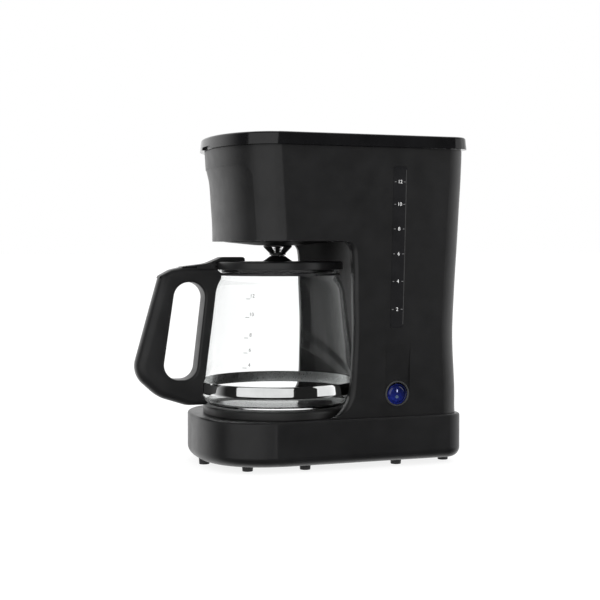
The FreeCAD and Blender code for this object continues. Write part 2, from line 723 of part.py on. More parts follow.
def check_valve():
    """A one-way valve between the tank and the cold hose."""
    parts = [
        rod(TUBE_R - 0.03, 104, TANK_BOTTOM + 4, Z_DIR, *OUTLET),
        rod(7.2, 92, 106, Z_DIR, *OUTLET),
        rod(TUBE_R, 80, 92, Z_DIR, *OUTLET),
    ]
    valve = fused(parts)
    valve = valve.cut(rod(2.6, 78, 94, Z_DIR, *OUTLET))
    return valve.cut(rod(2.6, 104, 122, Z_DIR, *OUTLET))


def cold_hose():
    """Soft hose from the check valve down through the base to the boiling tube."""
    x, y = OUTLET
    path = ((x, y, 91.8), (x, y, HOSE_RUN), (BOILER_X, BOILER_Y, HOSE_RUN), (BOILER_X, BOILER_Y, HOSE_END))
    return tube(path, HOSE_BEND, HOSE_R, HOSE_BORE)


def hot_hose():
    """Soft hose from the boiling tube to the riser."""
    x, y = RISER
    path = ((-BOILER_X, BOILER_Y, HOSE_END), (-BOILER_X, BOILER_Y, HOSE_RUN), (x, y, HOSE_RUN), (x, y, 72))
    return tube(path, HOSE_BEND, HOSE_R, HOSE_BORE)


def hose_clips():
    """Spring clips round the four hose ends."""
    low = HOSE_END - 6
    places = ((*OUTLET, 84), (BOILER_X, BOILER_Y, low), (-BOILER_X, BOILER_Y, low), (*RISER, 64))
    clips = [ring(HOSE_R + 0.9, HOSE_R + 0.02, z, z + 4, Z_DIR, x, y) for x, y, z in places]
    return Part.makeCompound(clips)


def riser_tube():
    """The tall tube that carries hot water up the column."""
    return ring(TUBE_R, TUBE_BORE, 58, DECK_TOP + 1, Z_DIR, *RISER)


def riser_spout():
    """The nozzle on top of the riser, under the channel in the lid."""
    x, y = RISER
    collar = ring(7.0, TUBE_R + 0.03, DECK_TOP + 0.05, DECK_TOP + 1.1, Z_DIR, x, y)
    nozzle = ring(5.4, 2.4, DECK_TOP + 1.05, DECK_TOP + 4.4, Z_DIR, x, y)
    return fused([collar, nozzle])


def switch_bezel():
    """The thin ring that frames the switch."""
    flange = ring(11.6, 10.1, SWITCH_FACE + 0.05, SWITCH_FACE + 1.3, X_DIR, 0, SWITCH_Y, SWITCH_Z)
    flange = flange.makeFillet(0.5, [e for e in flange.Edges if e.BoundBox.XMin > SWITCH_FACE + 1.2])
    barrel = ring(10.8, 10.1, SWITCH_FACE - 8, SWITCH_FACE + 0.6, X_DIR, 0, SWITCH_Y, SWITCH_Z)
    return fused([flange, barrel])


def switch_rocker():
    """The round see-through rocker, tilted the way it lies when it is on."""
    cap = rod(ROCKER_R, SWITCH_FACE - 2.6, SWITCH_FACE + 0.9, X_DIR, 0, SWITCH_Y, SWITCH_Z)
    cap = cap.makeFillet(0.8, [e for e in cap.Edges if e.BoundBox.XMin > SWITCH_FACE + 0.8])
    left, right = SWITCH_Y - HUB_HALF, SWITCH_Y + HUB_HALF
    hub = rod(HUB_R, left, right, Y_DIR, ROCKER_PIVOT_X, 0, SWITCH_Z)
    neck = box(ROCKER_PIVOT_X, SWITCH_FACE - 2, left, right, SWITCH_Z - HUB_R, SWITCH_Z + HUB_R)
    rocker = fused([cap, hub, neck])
    bore = rod(PIVOT_R + RUN_FIT, left - OVER, right + OVER, Y_DIR, ROCKER_PIVOT_X, 0, SWITCH_Z)
    rocker = rocker.cut(bore)
    rocker.rotate(Vec(ROCKER_PIVOT_X, SWITCH_Y, SWITCH_Z), Y_DIR, ROCKER_TILT)
    return rocker


def switch_case(back, front, half_y, half_z):
    """A block in line with the switch."""
    return box(back, front, SWITCH_Y - half_y, SWITCH_Y + half_y, SWITCH_Z - half_z, SWITCH_Z + half_z)


def switch_housing():
    """The switch's case behind the body wall, with the rocker's pivot and its terminals."""
    front = ROCKER_PIVOT_X - 0.2
    case = switch_case(SWITCH_BACK, front, 7.6, 6.3).cut(switch_case(SWITCH_BACK + 2, front + 1, 6.4, 5.2))
    ears = switch_case(front - 4, ROCKER_PIVOT_X + 1.9, 7.6, 2.0)
    ears = ears.cut(switch_case(front - 5, front + 5, 6.4, 3.0))
    pivot = rod(PIVOT_R, SWITCH_Y - 7, SWITCH_Y + 7, Y_DIR, ROCKER_PIVOT_X, 0, SWITCH_Z)
    tabs = [box(SWITCH_BACK - 7, SWITCH_BACK + 1, y - 0.4, y + 0.4, SWITCH_Z - 2.5, SWITCH_Z + 2.5)
            for y in (SWITCH_Y - 5, SWITCH_Y + 5)]
    return fused([case, ears, pivot] + tabs)


def switch_lamp():
    """The small lamp inside the switch."""
    return rod(1.6, SWITCH_BACK + 2.05, SWITCH_BACK + 9, X_DIR, 0, SWITCH_Y, SWITCH_Z + 2)


def cord_inlet():
    """The rubber grommet where mains wires enter the base."""
    x, z = INLET
    body = rod(INLET_BODY_R, BASE_REAR - 6.4, BASE_REAR, Y_DIR, x, 0, z)
    outside = rod(8.6, BASE_REAR, BASE_REAR + 1.6, Y_DIR, x, 0, z)
    outside = outside.makeFillet(0.7, [e for e in outside.Edges if e.BoundBox.YMin > BASE_REAR + 1.5])
    inside = rod(8.2, BASE_REAR - 4.4, BASE_REAR - 2.65, Y_DIR, x, 0, z)
    bore = rod(INLET_BORE, BASE_REAR - 10, BASE_REAR + 5, Y_DIR, x, 0, z)
    return fused([body, outside, inside]).cut(bore)


def terminal_block():
    """The block that joins the mains wires to the wiring."""
    block = box(-42, -18, 126, 136, BASE_FLOOR + 0.1, BASE_FLOOR + 12)
    for x in (-36, -24):
        block = block.cut(rod(2.2, BASE_FLOOR + 7, BASE_FLOOR + 13, Z_DIR, x, 131))
    return block


def wiring():
    """Wires from the block to the switch, and from switch and block to the heater."""
    z = BASE_FLOOR + 6
    x = SWITCH_BACK - 4
    terminal = (HEATER_X, 26, PLATE_TOP - PLATE_SKIN - 4.7)
    routes = (
        ((-17.9, 131, z), (0, 131, z), (30, 112, 30), (x, 100, 60), (x, SWITCH_Y + 6.8, SWITCH_Z)),
        ((x, SWITCH_Y - 6.8, SWITCH_Z), (x, SWITCH_Y - 6.8, 57), (x + 1, 91, 50), (x + 1, 91, 34),
         (48, 60, 32), (HEATER_X, 26, 31), terminal),
        ((-30, 125.9, z), (-30, 100, z + 4), (-22, 60, 30), (-26, 14, 33), (-HEATER_X, 26, 33),
         (-terminal[0], *terminal[1:])),
    )
    return Part.makeCompound([tube(route, 5, 1.1) for route in routes])


# ---- brewing chamber and valve ---------------------------------------------------------------------
def brew_chamber():
    """The fixed chamber in the head: flange, wall, shallow conical underside and valve seat."""
    wall = 2.0
    r = CHAMBER_R
    profile = (
        (r + 4, DECK_TOP + 0.05), (r + 4, DECK_TOP + 1.4), (r - wall, DECK_TOP + 1.4),
        (r - wall - 2.4, HEAD_BOTTOM + 4), (9.5, SEAT_TOP), (3.0, SEAT_TOP), (3.0, LENS_LOW),
        (16.5, LENS_LOW), (22, LENS_LOW + 0.25), (r - 6, LENS_TOP - 0.5), (r - 2.4, LENS_TOP + 0.6),
        (r - 2.0, HEAD_BOTTOM + 3), (r, DECK_BOTTOM - 4), (r, DECK_TOP + 0.05),
    )
    return turned(profile)


def filter_basket():
    """The lift-out basket: ribbed cup with a drain and two finger tabs."""
    top = DECK_TOP + 1.5
    wall = 1.5
    drain = 213.0
    low = drain + 9
    profile = (
        (CHAMBER_R + 1, top), (CHAMBER_R + 1, top + 1.2), (BASKET_R - wall, top + 1.2),
        (BASKET_LOW_R - wall, low + wall), (6.0, drain + wall), (6.0, drain), (BASKET_LOW_R, low),
        (BASKET_R, top),
    )
    cup = turned(profile)
    lower = BASKET_LOW_R - wall + 0.5
    upper = BASKET_R - wall
    deep = 1.4
    corners = (
        (lower - deep, low + 4, 0), (lower, low + 4, 0), (upper, top - 10, 0), (upper - deep, top - 12, 0),
    )
    ribs = []
    for i in range(BASKET_RIBS):
        wire = rounded(corners, lambda u, v: Vec(u, JUG_Y - deep / 2, v))
        rib = Part.Face(wire).extrude(Vec(0, deep, 0))
        rib.rotate(Vec(0, JUG_Y, 0), Z_DIR, 360 / BASKET_RIBS * (i + 0.5))
        ribs.append(rib)
    tab = rod(9, top, top + 1.2, Z_DIR, CHAMBER_R - 1, JUG_Y)
    tab = tab.cut(rod(BASKET_R - 0.8, top - 1, top + 3, Z_DIR, y=JUG_Y))
    return fused([cup, tab, tab.mirror(Vec(0, 0, 0), X_DIR)] + ribs)


def valve_cage():
    """The ribbed cone under the chamber, open between its ribs."""
    top = ring(CAGE_R, 8.0, CAGE_TOP - 0.4, LENS_LOW - 0.02, Z_DIR, y=JUG_Y)
    neck = ring(CAGE_NECK, 5.3, CAGE_BOTTOM, CAGE_BOTTOM + 2.4, Z_DIR, y=JUG_Y)
    parts = [top, neck]
    corners = ((5.4, CAGE_BOTTOM + 2.3, 0), (CAGE_NECK, CAGE_BOTTOM + 1.6, 0), (CAGE_R, CAGE_TOP - 0.4, 0),
               (CAGE_R, CAGE_TOP + 0.2, 0), (10.2, CAGE_TOP + 0.2, 0))
    for i in range(CAGE_RIBS):
        wire = rounded(corners, lambda u, v: Vec(u, JUG_Y - CAGE_RIB_HALF, v))
        rib = Part.Face(wire).extrude(Vec(0, 2 * CAGE_RIB_HALF, 0))
        rib.rotate(Vec(0, JUG_Y, 0), Z_DIR, 360 / CAGE_RIBS * (i + 0.5))
        parts.append(rib)
    return fused(parts)


def valve_plunger():
    """The drip-stop plunger, held up by the dome of the jug lid."""
    foot = DOME_TOP + 0.25
    profile = ((0, foot), (3.4, foot), (4.6, foot + 0.8), (4.6, foot + 2.4), (1.5, foot + 2.6),
               (1.5, SEAT_TOP + 6), (0, SEAT_TOP + 6))
    return turned(profile)


def valve_seal():
    """The rubber disc on the plunger that closes the seat when the jug is away."""
    low = SEAT_TOP + VALVE_DROP + 0.1
    return ring(6.8, 1.52, low, low + 1.8, Z_DIR, y=JUG_Y)


def valve_spring():
    """The coil that pushes the plunger down, of eight-sided wire."""
    low = DOME_TOP + 0.25 + 2.95
    high = LENS_LOW - CLEAR
    helix = Part.makeHelix((high - low) / SPRING_TURNS, high - low, SPRING_R)
    helix.translate(Vec(0, JUG_Y, low))
    corners = []
    for turn in steps(0, 2 * math.pi, 9):
        across = SPRING_WIRE_R * math.cos(turn)
        corners.append(Vec(SPRING_R + across, JUG_Y, low + SPRING_WIRE_R * math.sin(turn)))
    section = Part.makePolygon(corners)
    return Part.Wire(helix.Edges).makePipeShell([section], True, True)


# ---- lid ------------------------------------------------------------------------------------------
def lid_plan(inset, z):
    """Plan of the lid, set in by inset."""
    corner = TOWER_CORNER - min(inset, 8)
    return plan(LID_HALF - inset, LID_FRONT + inset, LID_REAR - inset, NOSE, NOSE_POWER, corner, z)


def top_lid():
    """The one-piece lid: flat top, deep rim, finger notch and hinge slots."""
    outer = rounded_slab(lid_plan, LID_BOTTOM, LID_TOP, 0, 1.6, LID_TAPER)
    hollow = Part.Face(lid_plan(LID_RIM, LID_BOTTOM - 1)).extrude(Vec(0, 0, LID_TOP - 2.4 - LID_BOTTOM + 1))
    lid = outer.cut(hollow)
    notch = box(-13, 13, LID_FRONT - 3, LID_FRONT + 3.2, LID_BOTTOM - 1, LID_BOTTOM + 2.6)
    lid = lid.cut(notch)
    for x in (HINGE_X, -HINGE_X):
        slot = EAR_HALF + 0.4
        lid = lid.cut(box(x - slot, x + slot, HINGE_Y - 6, LID_REAR + 2, LID_BOTTOM - 1, HINGE_Z + 3.7))
        pin_room = EAR_HALF + 5.05
        lid = lid.cut(rod(PIN_R + RUN_FIT, x - pin_room, x + pin_room, X_DIR, 0, HINGE_Y, HINGE_Z))
    return lid


def lid_hinge_pins():
    """Two steel pins that join the lid to the ears of the body."""
    reach = EAR_HALF + 5
    pins = [rod(PIN_R, x - reach, x + reach, X_DIR, 0, HINGE_Y, HINGE_Z) for x in (HINGE_X, -HINGE_X)]
    return Part.makeCompound(pins)


def shower_plate():
    """The tray under the lid that spreads hot water, and the channel that feeds it."""
    top = LID_TOP - 2.4
    low = 290.5
    profile = (
        (0, low), (34, low), (36, low + 1.5), (36, top), (34.4, top), (34.4, low + 1.6), (0, low + 1.6),
    )
    tray = turned(profile)
    for count, radius in ((8, 13), (14, 25)):
        for i in range(count):
            angle = 2 * math.pi * i / count
            x, y = radius * math.cos(angle), JUG_Y + radius * math.sin(angle)
            tray = tray.cut(rod(1.2, low - OVER, low + 3, Z_DIR, x, y))
    x, y = RISER
    length = math.hypot(x, y - JUG_Y)
    angle = math.degrees(math.atan2(y - JUG_Y, x))
    outside = box(30, length + 7, -8, 8, low + 0.2, top)
    inside = box(20, length + 5.6, -6.6, 6.6, low + 1.6, top + 1)
    drip = rod(5.0, low - 1, low + 3, Z_DIR, length, 0)
    channel = outside.cut(inside).cut(drip)
    channel.rotate(Vec(0, 0, 0), Z_DIR, angle)
    channel.translate(Vec(0, JUG_Y, 0))
    gate = box(20, 40, -6.6, 6.6, low + 1.6, top + 1)
    gate.rotate(Vec(0, 0, 0), Z_DIR, angle)
    gate.translate(Vec(0, JUG_Y, 0))
    channel = channel.cut(rod(34.6, low - 1, top + 1, Z_DIR, y=JUG_Y))
    return fused([tray, channel]).cut(gate)


# ---- jug --------------------------------------------------------------------------------------------
def glass_radius(z):
    """Outer radius of the glass at a height."""
    return level([(height, radius) for radius, height in GLASS], z)


def offset_glass(gap):
    """The glass outline moved out by a gap, as (radius, height) points."""
    moved = []
    for i, (r, z) in enumerate(GLASS):
        before = GLASS[max(i - 1, 0)]
        after = GLASS[min(i + 1, len(GLASS) - 1)]
        dr = after[0] - before[0]
        dz = after[1] - before[1]
        size = math.hypot(dr, dz)
        moved.append((r + gap * dz / size, z - gap * dr / size))
    return moved


def jug_curve(points):
    """A smooth profile edge through (radius, height) points."""
    curve = Part.BSplineCurve()
    curve.interpolate([Vec(r, JUG_Y, z) for r, z in points])
    return curve.toShape()


def turned_edges(edges):
    """A solid of revolution from a closed loop of profile edges."""
    face = Part.Face(Part.Wire(edges))
    return face.revolve(Vec(0, JUG_Y, 0), Z_DIR, 360)


def glass_jug():
    """The glass: a ring foot, a full shoulder, a waist at the neck and a flared rim."""
    inner = [p for p in offset_glass(-GLASS_WALL) if p[1] > GLASS_FLOOR + 2]
    outer_edge = jug_curve(GLASS)
    inner_edge = jug_curve(inner)
    rim_out = GLASS[-1]
    rim_in = inner[-1]
    crown = ((rim_out[0] + rim_in[0]) / 2 + 0.5, (rim_out[1] + rim_in[1]) / 2 + 1.1)
    rim = Part.Arc(*[Vec(r, JUG_Y, z) for r, z in (rim_out, crown, rim_in)]).toShape()
    heel_in = inner[0]
    floor = [heel_in, (heel_in[0] - 5.5, GLASS_FLOOR + 0.4)]
    floor += [(40, GLASS_FLOOR + 1.6), (0, GLASS_FLOOR + 2.0)]
    under = [(0, GLASS_FLOOR - 0.2), (40, GLASS_FLOOR - 0.5), (60, GLASS_FLOOR - 1.9)]
    under += [(63.6, PLATE_TOP + 0.25), GLASS[0]]
    edges = [outer_edge, rim, inner_edge]
    for line in (floor, under):
        for (r0, z0), (r1, z1) in zip(line, line[1:]):
            edges.append(Part.makeLine(Vec(r0, JUG_Y, z0), Vec(r1, JUG_Y, z1)))
    edges.append(Part.makeLine(Vec(0, JUG_Y, floor[-1][1]), Vec(0, JUG_Y, under[0][1])))
    return turned_edges(Part.sortEdges(edges)[0])


def chrome_band():
    """The polished band round the foot of the glass, with rolled edges."""
    low, high = BAND
    inside = [(glass_radius(z) + 0.35, z) for z in steps(low, high, 5)]
    outside = [(r + (0.75 if 0 < i < 4 else 0.45), z) for i, (r, z) in enumerate(inside)]
    profile = inside + outside[::-1]
    return turned(profile)


def neck_collar():
    """The thin band round the neck that holds the top of the handle."""
    r = glass_radius(174.7) + 0.3
    return turned(((r, 173.7), (r + 0.9, 173.7), (r + 0.9, 175.7), (r, 175.7)))


def jug_room():
    """The space of glass, band, collar and jug lid, with clearance, that the handle is cut from."""
    outline = offset_glass(0.35)
    room = [(0, 40), (outline[0][0], 40)] + outline[:3]
    low, high = BAND
    room += [(glass_radius(z) + 1.35, z) for z in steps(low - 0.4, high + 0.4, 9)]
    lid_r = JUG_LID_R + 0.35
    room += outline[6:13] + [(58.4, 173.4), (58.4, 176.0), (lid_r, 178.3), (lid_r, 200), (0, 200)]
    return turned(room)


def handle():
    """The grip: a closed loop that straps the glass between the collar and the band."""
    solid = side_prism(HANDLE, HANDLE_HALF)
    outer_edges = [e for e in solid.Edges if e.BoundBox.XLength < 0.01 and e.BoundBox.YMin < -60]
    solid = solid.makeFillet(4.2, outer_edges)
    hole = side_prism(FINGER_HOLE, HANDLE_HALF + 5)
    solid = solid.cut(hole)
    rim = [e for e in solid.Edges if hole_edge(e)]
    solid = solid.makeFillet(3.0, rim)
    solid = solid.cut(jug_room())
    solid = solid.cut(handle_cap_room(0.0))
    middle = sum(BAND) / 2
    hole = rod(1.5, CLAMP_HEAD, -70, Y_DIR, 0, 0, middle)
    sink = rod(3.1, -FAR, CLAMP_HEAD, Y_DIR, 0, 0, middle)
    solid = largest(solid.cut(hole).cut(sink))
    lever_room = LEVER_HALF + CLEAR
    ear = side_prism(LEVER_EAR, HANDLE_HALF)
    ear = ear.cut(box(-lever_room, lever_room, -100, -70, 170, 200)).cut(jug_room())
    solid = fused([solid, ear])
    return solid.cut(rod(LEVER_PIN_R, -HANDLE_HALF, HANDLE_HALF, X_DIR, 0, *LEVER_PIN))


def hole_edge(edge):
    """True for an edge of the finger hole on the handle's flat sides."""
    bounds = edge.BoundBox
    flat = bounds.XLength < 0.01 and abs(abs(bounds.XMax) - HANDLE_HALF) < 0.01
    inside = bounds.YMin > -126 and bounds.YMax < -78 and bounds.ZMin > 77 and bounds.ZMax < 170
    return flat and inside


def largest(shape):
    """The biggest solid of a cut shape."""
    return max(shape.Solids, key=lambda s: s.Volume)


def handle_cap_room(gap):
    """The strip along the top of the grip that its cap fills, less a gap at its sides."""
    return side_prism(CAP_LINE, CAP_HALF - gap)


def handle_cap():
    """A glossy strip let into the top of the grip."""
    solid = side_prism(HANDLE, HANDLE_HALF)
    return largest(solid.common(handle_cap_room(0.12)))


def handle_screw():
    """The screw that clamps the grip to the band, deep in a hole in the grip's lower arm."""
    z = sum(BAND) / 2
    shank = rod(1.4, CLAMP_HEAD - 0.5, JUG_Y - glass_radius(z) - 1.4, Y_DIR, 0, 0, z)
    head = rod(2.8, CLAMP_HEAD - 2.2, CLAMP_HEAD - RUN_FIT, Y_DIR, 0, 0, z)
    slot = box(-3, 3, CLAMP_HEAD - 3, CLAMP_HEAD - 1.5, z - 0.35, z + 0.35)
    return fused([shank, head]).cut(slot)


def jug_lid():
    """The jug lid: plug, flat top, raised dome with a brew hole."""
    r = JUG_LID_R
    under = JUG_LID_TOP - 2.4
    profile = (
        (2.6, under), (50.0, under), (50.0, 176.5), (52.4, 176.5), (52.4, 182.7),
        (r - 1.4, 182.7), (r - 1.4, 179.2), (r, 179.2),
        (r, JUG_LID_TOP - 1.2), (r - 1.2, JUG_LID_TOP), (DOME_R, JUG_LID_TOP), (10.6, JUG_LID_TOP + 2.5),
        (DOME_NECK + 0.6, DOME_TOP - 0.5), (DOME_NECK - 0.4, DOME_TOP), (2.6, DOME_TOP),
    )
    return turned(profile)


def thumb_lever():
    """The lever over the handle that lifts the jug lid."""
    solid = side_prism(LEVER, LEVER_HALF)
    return solid.cut(rod(LEVER_PIN_R, -LEVER_HALF, LEVER_HALF, X_DIR, 0, *LEVER_PIN))


def lever_pin():
    """The pin that the thumb lever turns on, through the two ears of the handle."""
    reach = HANDLE_HALF - CLEAR
    return rod(LEVER_PIN_R - RUN_FIT, -reach, reach, X_DIR, 0, *LEVER_PIN)


# ---- build ---------------------------------------------------------------------------------------------
NODES = {
    "base_shell": base_shell,
    "bottom_cover": bottom_cover,
    "rubber_feet": rubber_feet,
    "cover_screws": cover_screws,
    "body_screws": body_screws,
    "warming_plate": warming_plate,
    "plate_gasket": plate_gasket,
    "heater_rod": heater_rod,
    "water_tube": water_tube,
    "heater_bracket": heater_bracket,
    "thermostat": thermostat,
    "thermal_fuses": thermal_fuses,
    "body_shell": body_shell,
    "level_window": level_window,
    "deck": deck,
    "water_tank": water_tank,
    "tank_grommet": tank_grommet,
    "check_valve": check_valve,
    "cold_hose": cold_hose,
    "hot_hose": hot_hose,
    "hose_clips": hose_clips,
    "riser_tube": riser_tube,
    "riser_spout": riser_spout,
    "switch_bezel": switch_bezel,
    "switch_rocker": switch_rocker,
    "switch_housing": switch_housing,
    "switch_lamp": switch_lamp,
    "cord_inlet": cord_inlet,
    "terminal_block": terminal_block,
    "wiring": wiring,
    "brew_chamber": brew_chamber,
    "filter_basket": filter_basket,
    "valve_cage": valve_cage,
    "valve_plunger": valve_plunger,
    "valve_seal": valve_seal,
    "valve_spring": valve_spring,
    "top_lid": top_lid,
    "lid_hinge_pins": lid_hinge_pins,
    "shower_plate": shower_plate,
    "glass_jug": glass_jug,
    "chrome_band": chrome_band,
    "neck_collar": neck_collar,
    "handle": handle,
    "handle_cap": handle_cap,
    "handle_screw": handle_screw,
    "jug_lid": jug_lid,
    "thumb_lever": thumb_lever,
    "lever_pin": lever_pin,
}

os.makedirs("parts", exist_ok=True)
for name, make in NODES.items():
    shape = make()
    shape.translate(Vec(0, -BOX_MIDDLE_Y, 0))
    shape.exportStep(f"parts/{name}.step")
    print(name, len(shape.Solids), shape.isValid(), round(shape.Volume / 1000, 2))
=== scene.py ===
"""Looks of the drip coffee maker: fine visible shells, printed marks, materials, light and camera.

Helpers take millimetres and build in metres. The frame's axes are the part's own:
+Z up, the front is -Y, and the water window and the switch are on the +X side.
"""

import json
import math

import bmesh
import bpy
from mathutils import Matrix, Vector
from mathutils.bvhtree import BVHTree


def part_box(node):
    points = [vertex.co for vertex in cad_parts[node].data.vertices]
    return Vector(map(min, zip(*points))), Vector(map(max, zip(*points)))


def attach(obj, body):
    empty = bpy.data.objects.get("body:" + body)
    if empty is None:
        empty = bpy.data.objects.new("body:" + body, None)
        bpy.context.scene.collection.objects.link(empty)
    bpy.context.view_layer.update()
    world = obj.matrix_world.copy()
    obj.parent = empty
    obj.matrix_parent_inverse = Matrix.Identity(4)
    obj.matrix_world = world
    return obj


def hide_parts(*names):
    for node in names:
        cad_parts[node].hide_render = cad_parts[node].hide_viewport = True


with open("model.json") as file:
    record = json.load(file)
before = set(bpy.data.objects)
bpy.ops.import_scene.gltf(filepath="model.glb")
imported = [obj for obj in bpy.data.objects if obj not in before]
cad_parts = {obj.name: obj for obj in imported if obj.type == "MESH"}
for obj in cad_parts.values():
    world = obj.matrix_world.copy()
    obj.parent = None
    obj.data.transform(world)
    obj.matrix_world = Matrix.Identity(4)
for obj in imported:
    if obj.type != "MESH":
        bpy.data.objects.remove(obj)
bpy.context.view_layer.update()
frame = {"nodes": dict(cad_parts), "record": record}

MM = 0.001
SLOT_OF = {part["node"]: part["material_slot"] for part in frame["record"]["subparts"]}
BODIES = frame["record"]["behaviour"]["bodies"]
BODY_OF = {node: body for body, nodes in BODIES.items() for node in nodes}


def low(node):
    """Lowest corner of a CAD node, in millimetres."""
    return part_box(node)[0] / MM


def high(node):
    """Highest corner of a CAD node, in millimetres."""
    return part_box(node)[1] / MM


def middle(node):
    """Middle of a CAD node's box, in millimetres."""
    return (low(node) + high(node)) / 2


# ---- driving places and sizes, in millimetres ---------------------------------------
JUG_Y = middle("glass_jug").y
PLATE_TOP = high("warming_plate").z
SWITCH = middle("switch_bezel")
JOINTS = {joint["name"]: joint for joint in frame["record"]["behaviour"]["joints"]}
ROCKER_PIVOT = Vector(JOINTS["switch_rock"]["pos_m"]) / MM
WINDOW_HALF = 6.5             # half of the water window's width

# glass of the jug: (outer radius, height) from its foot to its rim
GLASS = (
    (66.2, 54.9), (69.6, 57.6), (73.0, 61.8), (74.4, 66.0), (74.3, 71.0), (73.5, 77.5), (71.4, 94.0),
    (68.8, 114.0), (66.4, 132.0), (64.0, 151.0), (63.0, 159.0), (60.9, 166.0), (58.0, 171.2),
    (57.0, 174.7), (57.6, 178.2), (58.9, 180.6),
)
GLASS_WALL = 2.2
GLASS_FLOOR = 57.0

LID_TOP = 186.4               # flat top of the jug lid, round its dome

FINE_TURN = 256               # steps round the jug's large round pieces
ARC_CHORD = 1.2               # longest step along a rounded corner
SHARP_EDGE = 35               # degrees between two faces from which their edge shows as sharp


# ---- mesh helpers ---------------------------------------------------------------------
def add(name, mesh, body, replaces=()):
    """Puts a mesh in the scene as a piece that rides on a body, smooth except at sharp edges."""
    mesh.shade_smooth()
    mesh.set_sharp_from_angle(angle=math.radians(SHARP_EDGE))
    piece = bpy.data.objects.new(name, mesh)
    bpy.context.scene.collection.objects.link(piece)
    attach(piece, body)
    if replaces:
        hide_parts(*replaces)
    return piece


def stand_in(node, mesh):
    """A finer piece in place of one CAD node, on its body."""
    return add(f"fine_{node}", mesh, BODY_OF[node], (node,))


def mesh_of(bm, name):
    """A mesh from a bmesh in millimetres, with its faces turned outward."""
    bmesh.ops.recalc_face_normals(bm, faces=bm.faces)
    bmesh.ops.scale(bm, vec=(MM, MM, MM), verts=bm.verts)
    mesh = bpy.data.meshes.new(name)
    bm.to_mesh(mesh)
    bm.free()
    return mesh


def smooth_line(points, per):
    """Points on a smooth curve through the given ones, per steps between each two."""
    line = []
    ends = [points[0], *points, points[-1]]
    for before, a, b, after in zip(ends, ends[1:], ends[2:], ends[3:]):
        for i in range(per):
            t = i / per
            spot = []
            for p, q, r, s in zip(before, a, b, after):
                slope = (r - p) * t
                bend = (2 * p - 5 * q + 4 * r - s) * t**2
                twist = (3 * q - p - 3 * r + s) * t**3
                spot.append(0.5 * (2 * q + slope + bend + twist))
            line.append(tuple(spot))
    return line + [points[-1]]


def round_corners(corners, per):
    """A line through (u, v, radius) corners, with arcs of at least per steps at the round ones."""
    count = len(corners)
    line = []
    for i, (u, v, radius) in enumerate(corners):
        here = Vector((u, v))
        if radius == 0:
            line.append((u, v))
            continue
        back = (Vector(corners[i - 1][:2]) - here).normalized()
        ahead = (Vector(corners[(i + 1) % count][:2]) - here).normalized()
        half = back.angle(ahead) / 2
        centre = here + (back + ahead).normalized() * (radius / math.sin(half))
        start = here + back * (radius / math.tan(half)) - centre
        sweep = (math.pi - 2 * half) * (1 if back.x * ahead.y - back.y * ahead.x < 0 else -1)
        steps = max(per, math.ceil(abs(sweep) * radius / ARC_CHORD))
        for k in range(steps + 1):
            turn = Matrix.Rotation(sweep * k / steps, 2)
            line.append(tuple(centre + turn @ start))
    return line


def offset_line(line, gap):
    """A line of (radius, height) points moved sideways by a gap."""
    moved = []
    for i, (r, z) in enumerate(line):
        before = Vector(line[max(i - 1, 0)])
        after = Vector(line[min(i + 1, len(line) - 1)])
        along = (after - before).normalized()
        moved.append((r + gap * along.y, z - gap * along.x))
    return moved


def lathe(profile, x=0.0, y=JUG_Y, around=FINE_TURN):
    """A closed (radius, height) profile turned about a vertical axis. A radius of 0 is a pole."""
    bm = bmesh.new()
    rings = []
    for r, z in profile:
        if r < 1e-6:
            rings.append([bm.verts.new((x, y, z))])
            continue
        turns = [2 * math.pi * k / around for k in range(around)]
        rings.append([bm.verts.new((x + r * math.cos(t), y + r * math.sin(t), z)) for t in turns])
    for a, b in zip(rings, rings[1:] + rings[:1]):
        if len(a) == 1 and len(b) == 1:
            continue
        for k in range(around):
            after = (k + 1) % around
            corners = [a[k % len(a)], a[after % len(a)], b[after % len(b)], b[k % len(b)]]
            bm.faces.new(list(dict.fromkeys(corners)))
    return bm


def loft(sections):
    """A closed skin through rings of (x, y, z) points, all with one count."""
    bm = bmesh.new()
    rings = [[bm.verts.new(p) for p in ring] for ring in sections]
    for a, b in zip(rings, rings[1:]):
        for k in range(len(a)):
            after = (k + 1) % len(a)
            bm.faces.new((a[k], a[after], b[after], b[k]))
    bm.faces.new(rings[0][::-1])
    bm.faces.new(rings[-1])
    return bm


def carve(bm, cutters, operation="DIFFERENCE"):
    """A mesh in millimetres after exact boolean cuts, as a new bmesh."""
    holder = bpy.data.objects.new("carving", bpy.data.meshes.new("carving"))
    bpy.context.scene.collection.objects.link(holder)
    bmesh.ops.recalc_face_normals(bm, faces=bm.faces)
    bm.to_mesh(holder.data)
    bm.free()
    tools = []
    for cutter in cutters:
        bmesh.ops.recalc_face_normals(cutter, faces=cutter.faces)
        tool = bpy.data.objects.new("cutter", bpy.data.meshes.new("cutter"))
        bpy.context.scene.collection.objects.link(tool)
        cutter.to_mesh(tool.data)
        cutter.free()
        cut = holder.modifiers.new("cut", "BOOLEAN")
        cut.operation = operation
        cut.solver = "EXACT"
        cut.object = tool
        tools.append(tool)
    graph = bpy.context.evaluated_depsgraph_get()
    made = bpy.data.meshes.new_from_object(holder.evaluated_get(graph))
    result = bmesh.new()
    result.from_mesh(made)
    for tool in [holder, *tools]:
        bpy.data.objects.remove(tool)
    return result


# ---- materials ---------------------------------------------------------------------------
# sockets of a colour Mix node
FIRST_COLOUR = 6
SECOND_COLOUR = 7
MIXED_COLOUR = 2


def set_range(map_range, from_low, from_high, to_low, to_high):
    """Sets both ranges of a Map Range node."""
    values = {"From Min": from_low, "From Max": from_high, "To Min": to_low, "To Max": to_high}
    for key, value in values.items():
        map_range.inputs[key].default_value = value


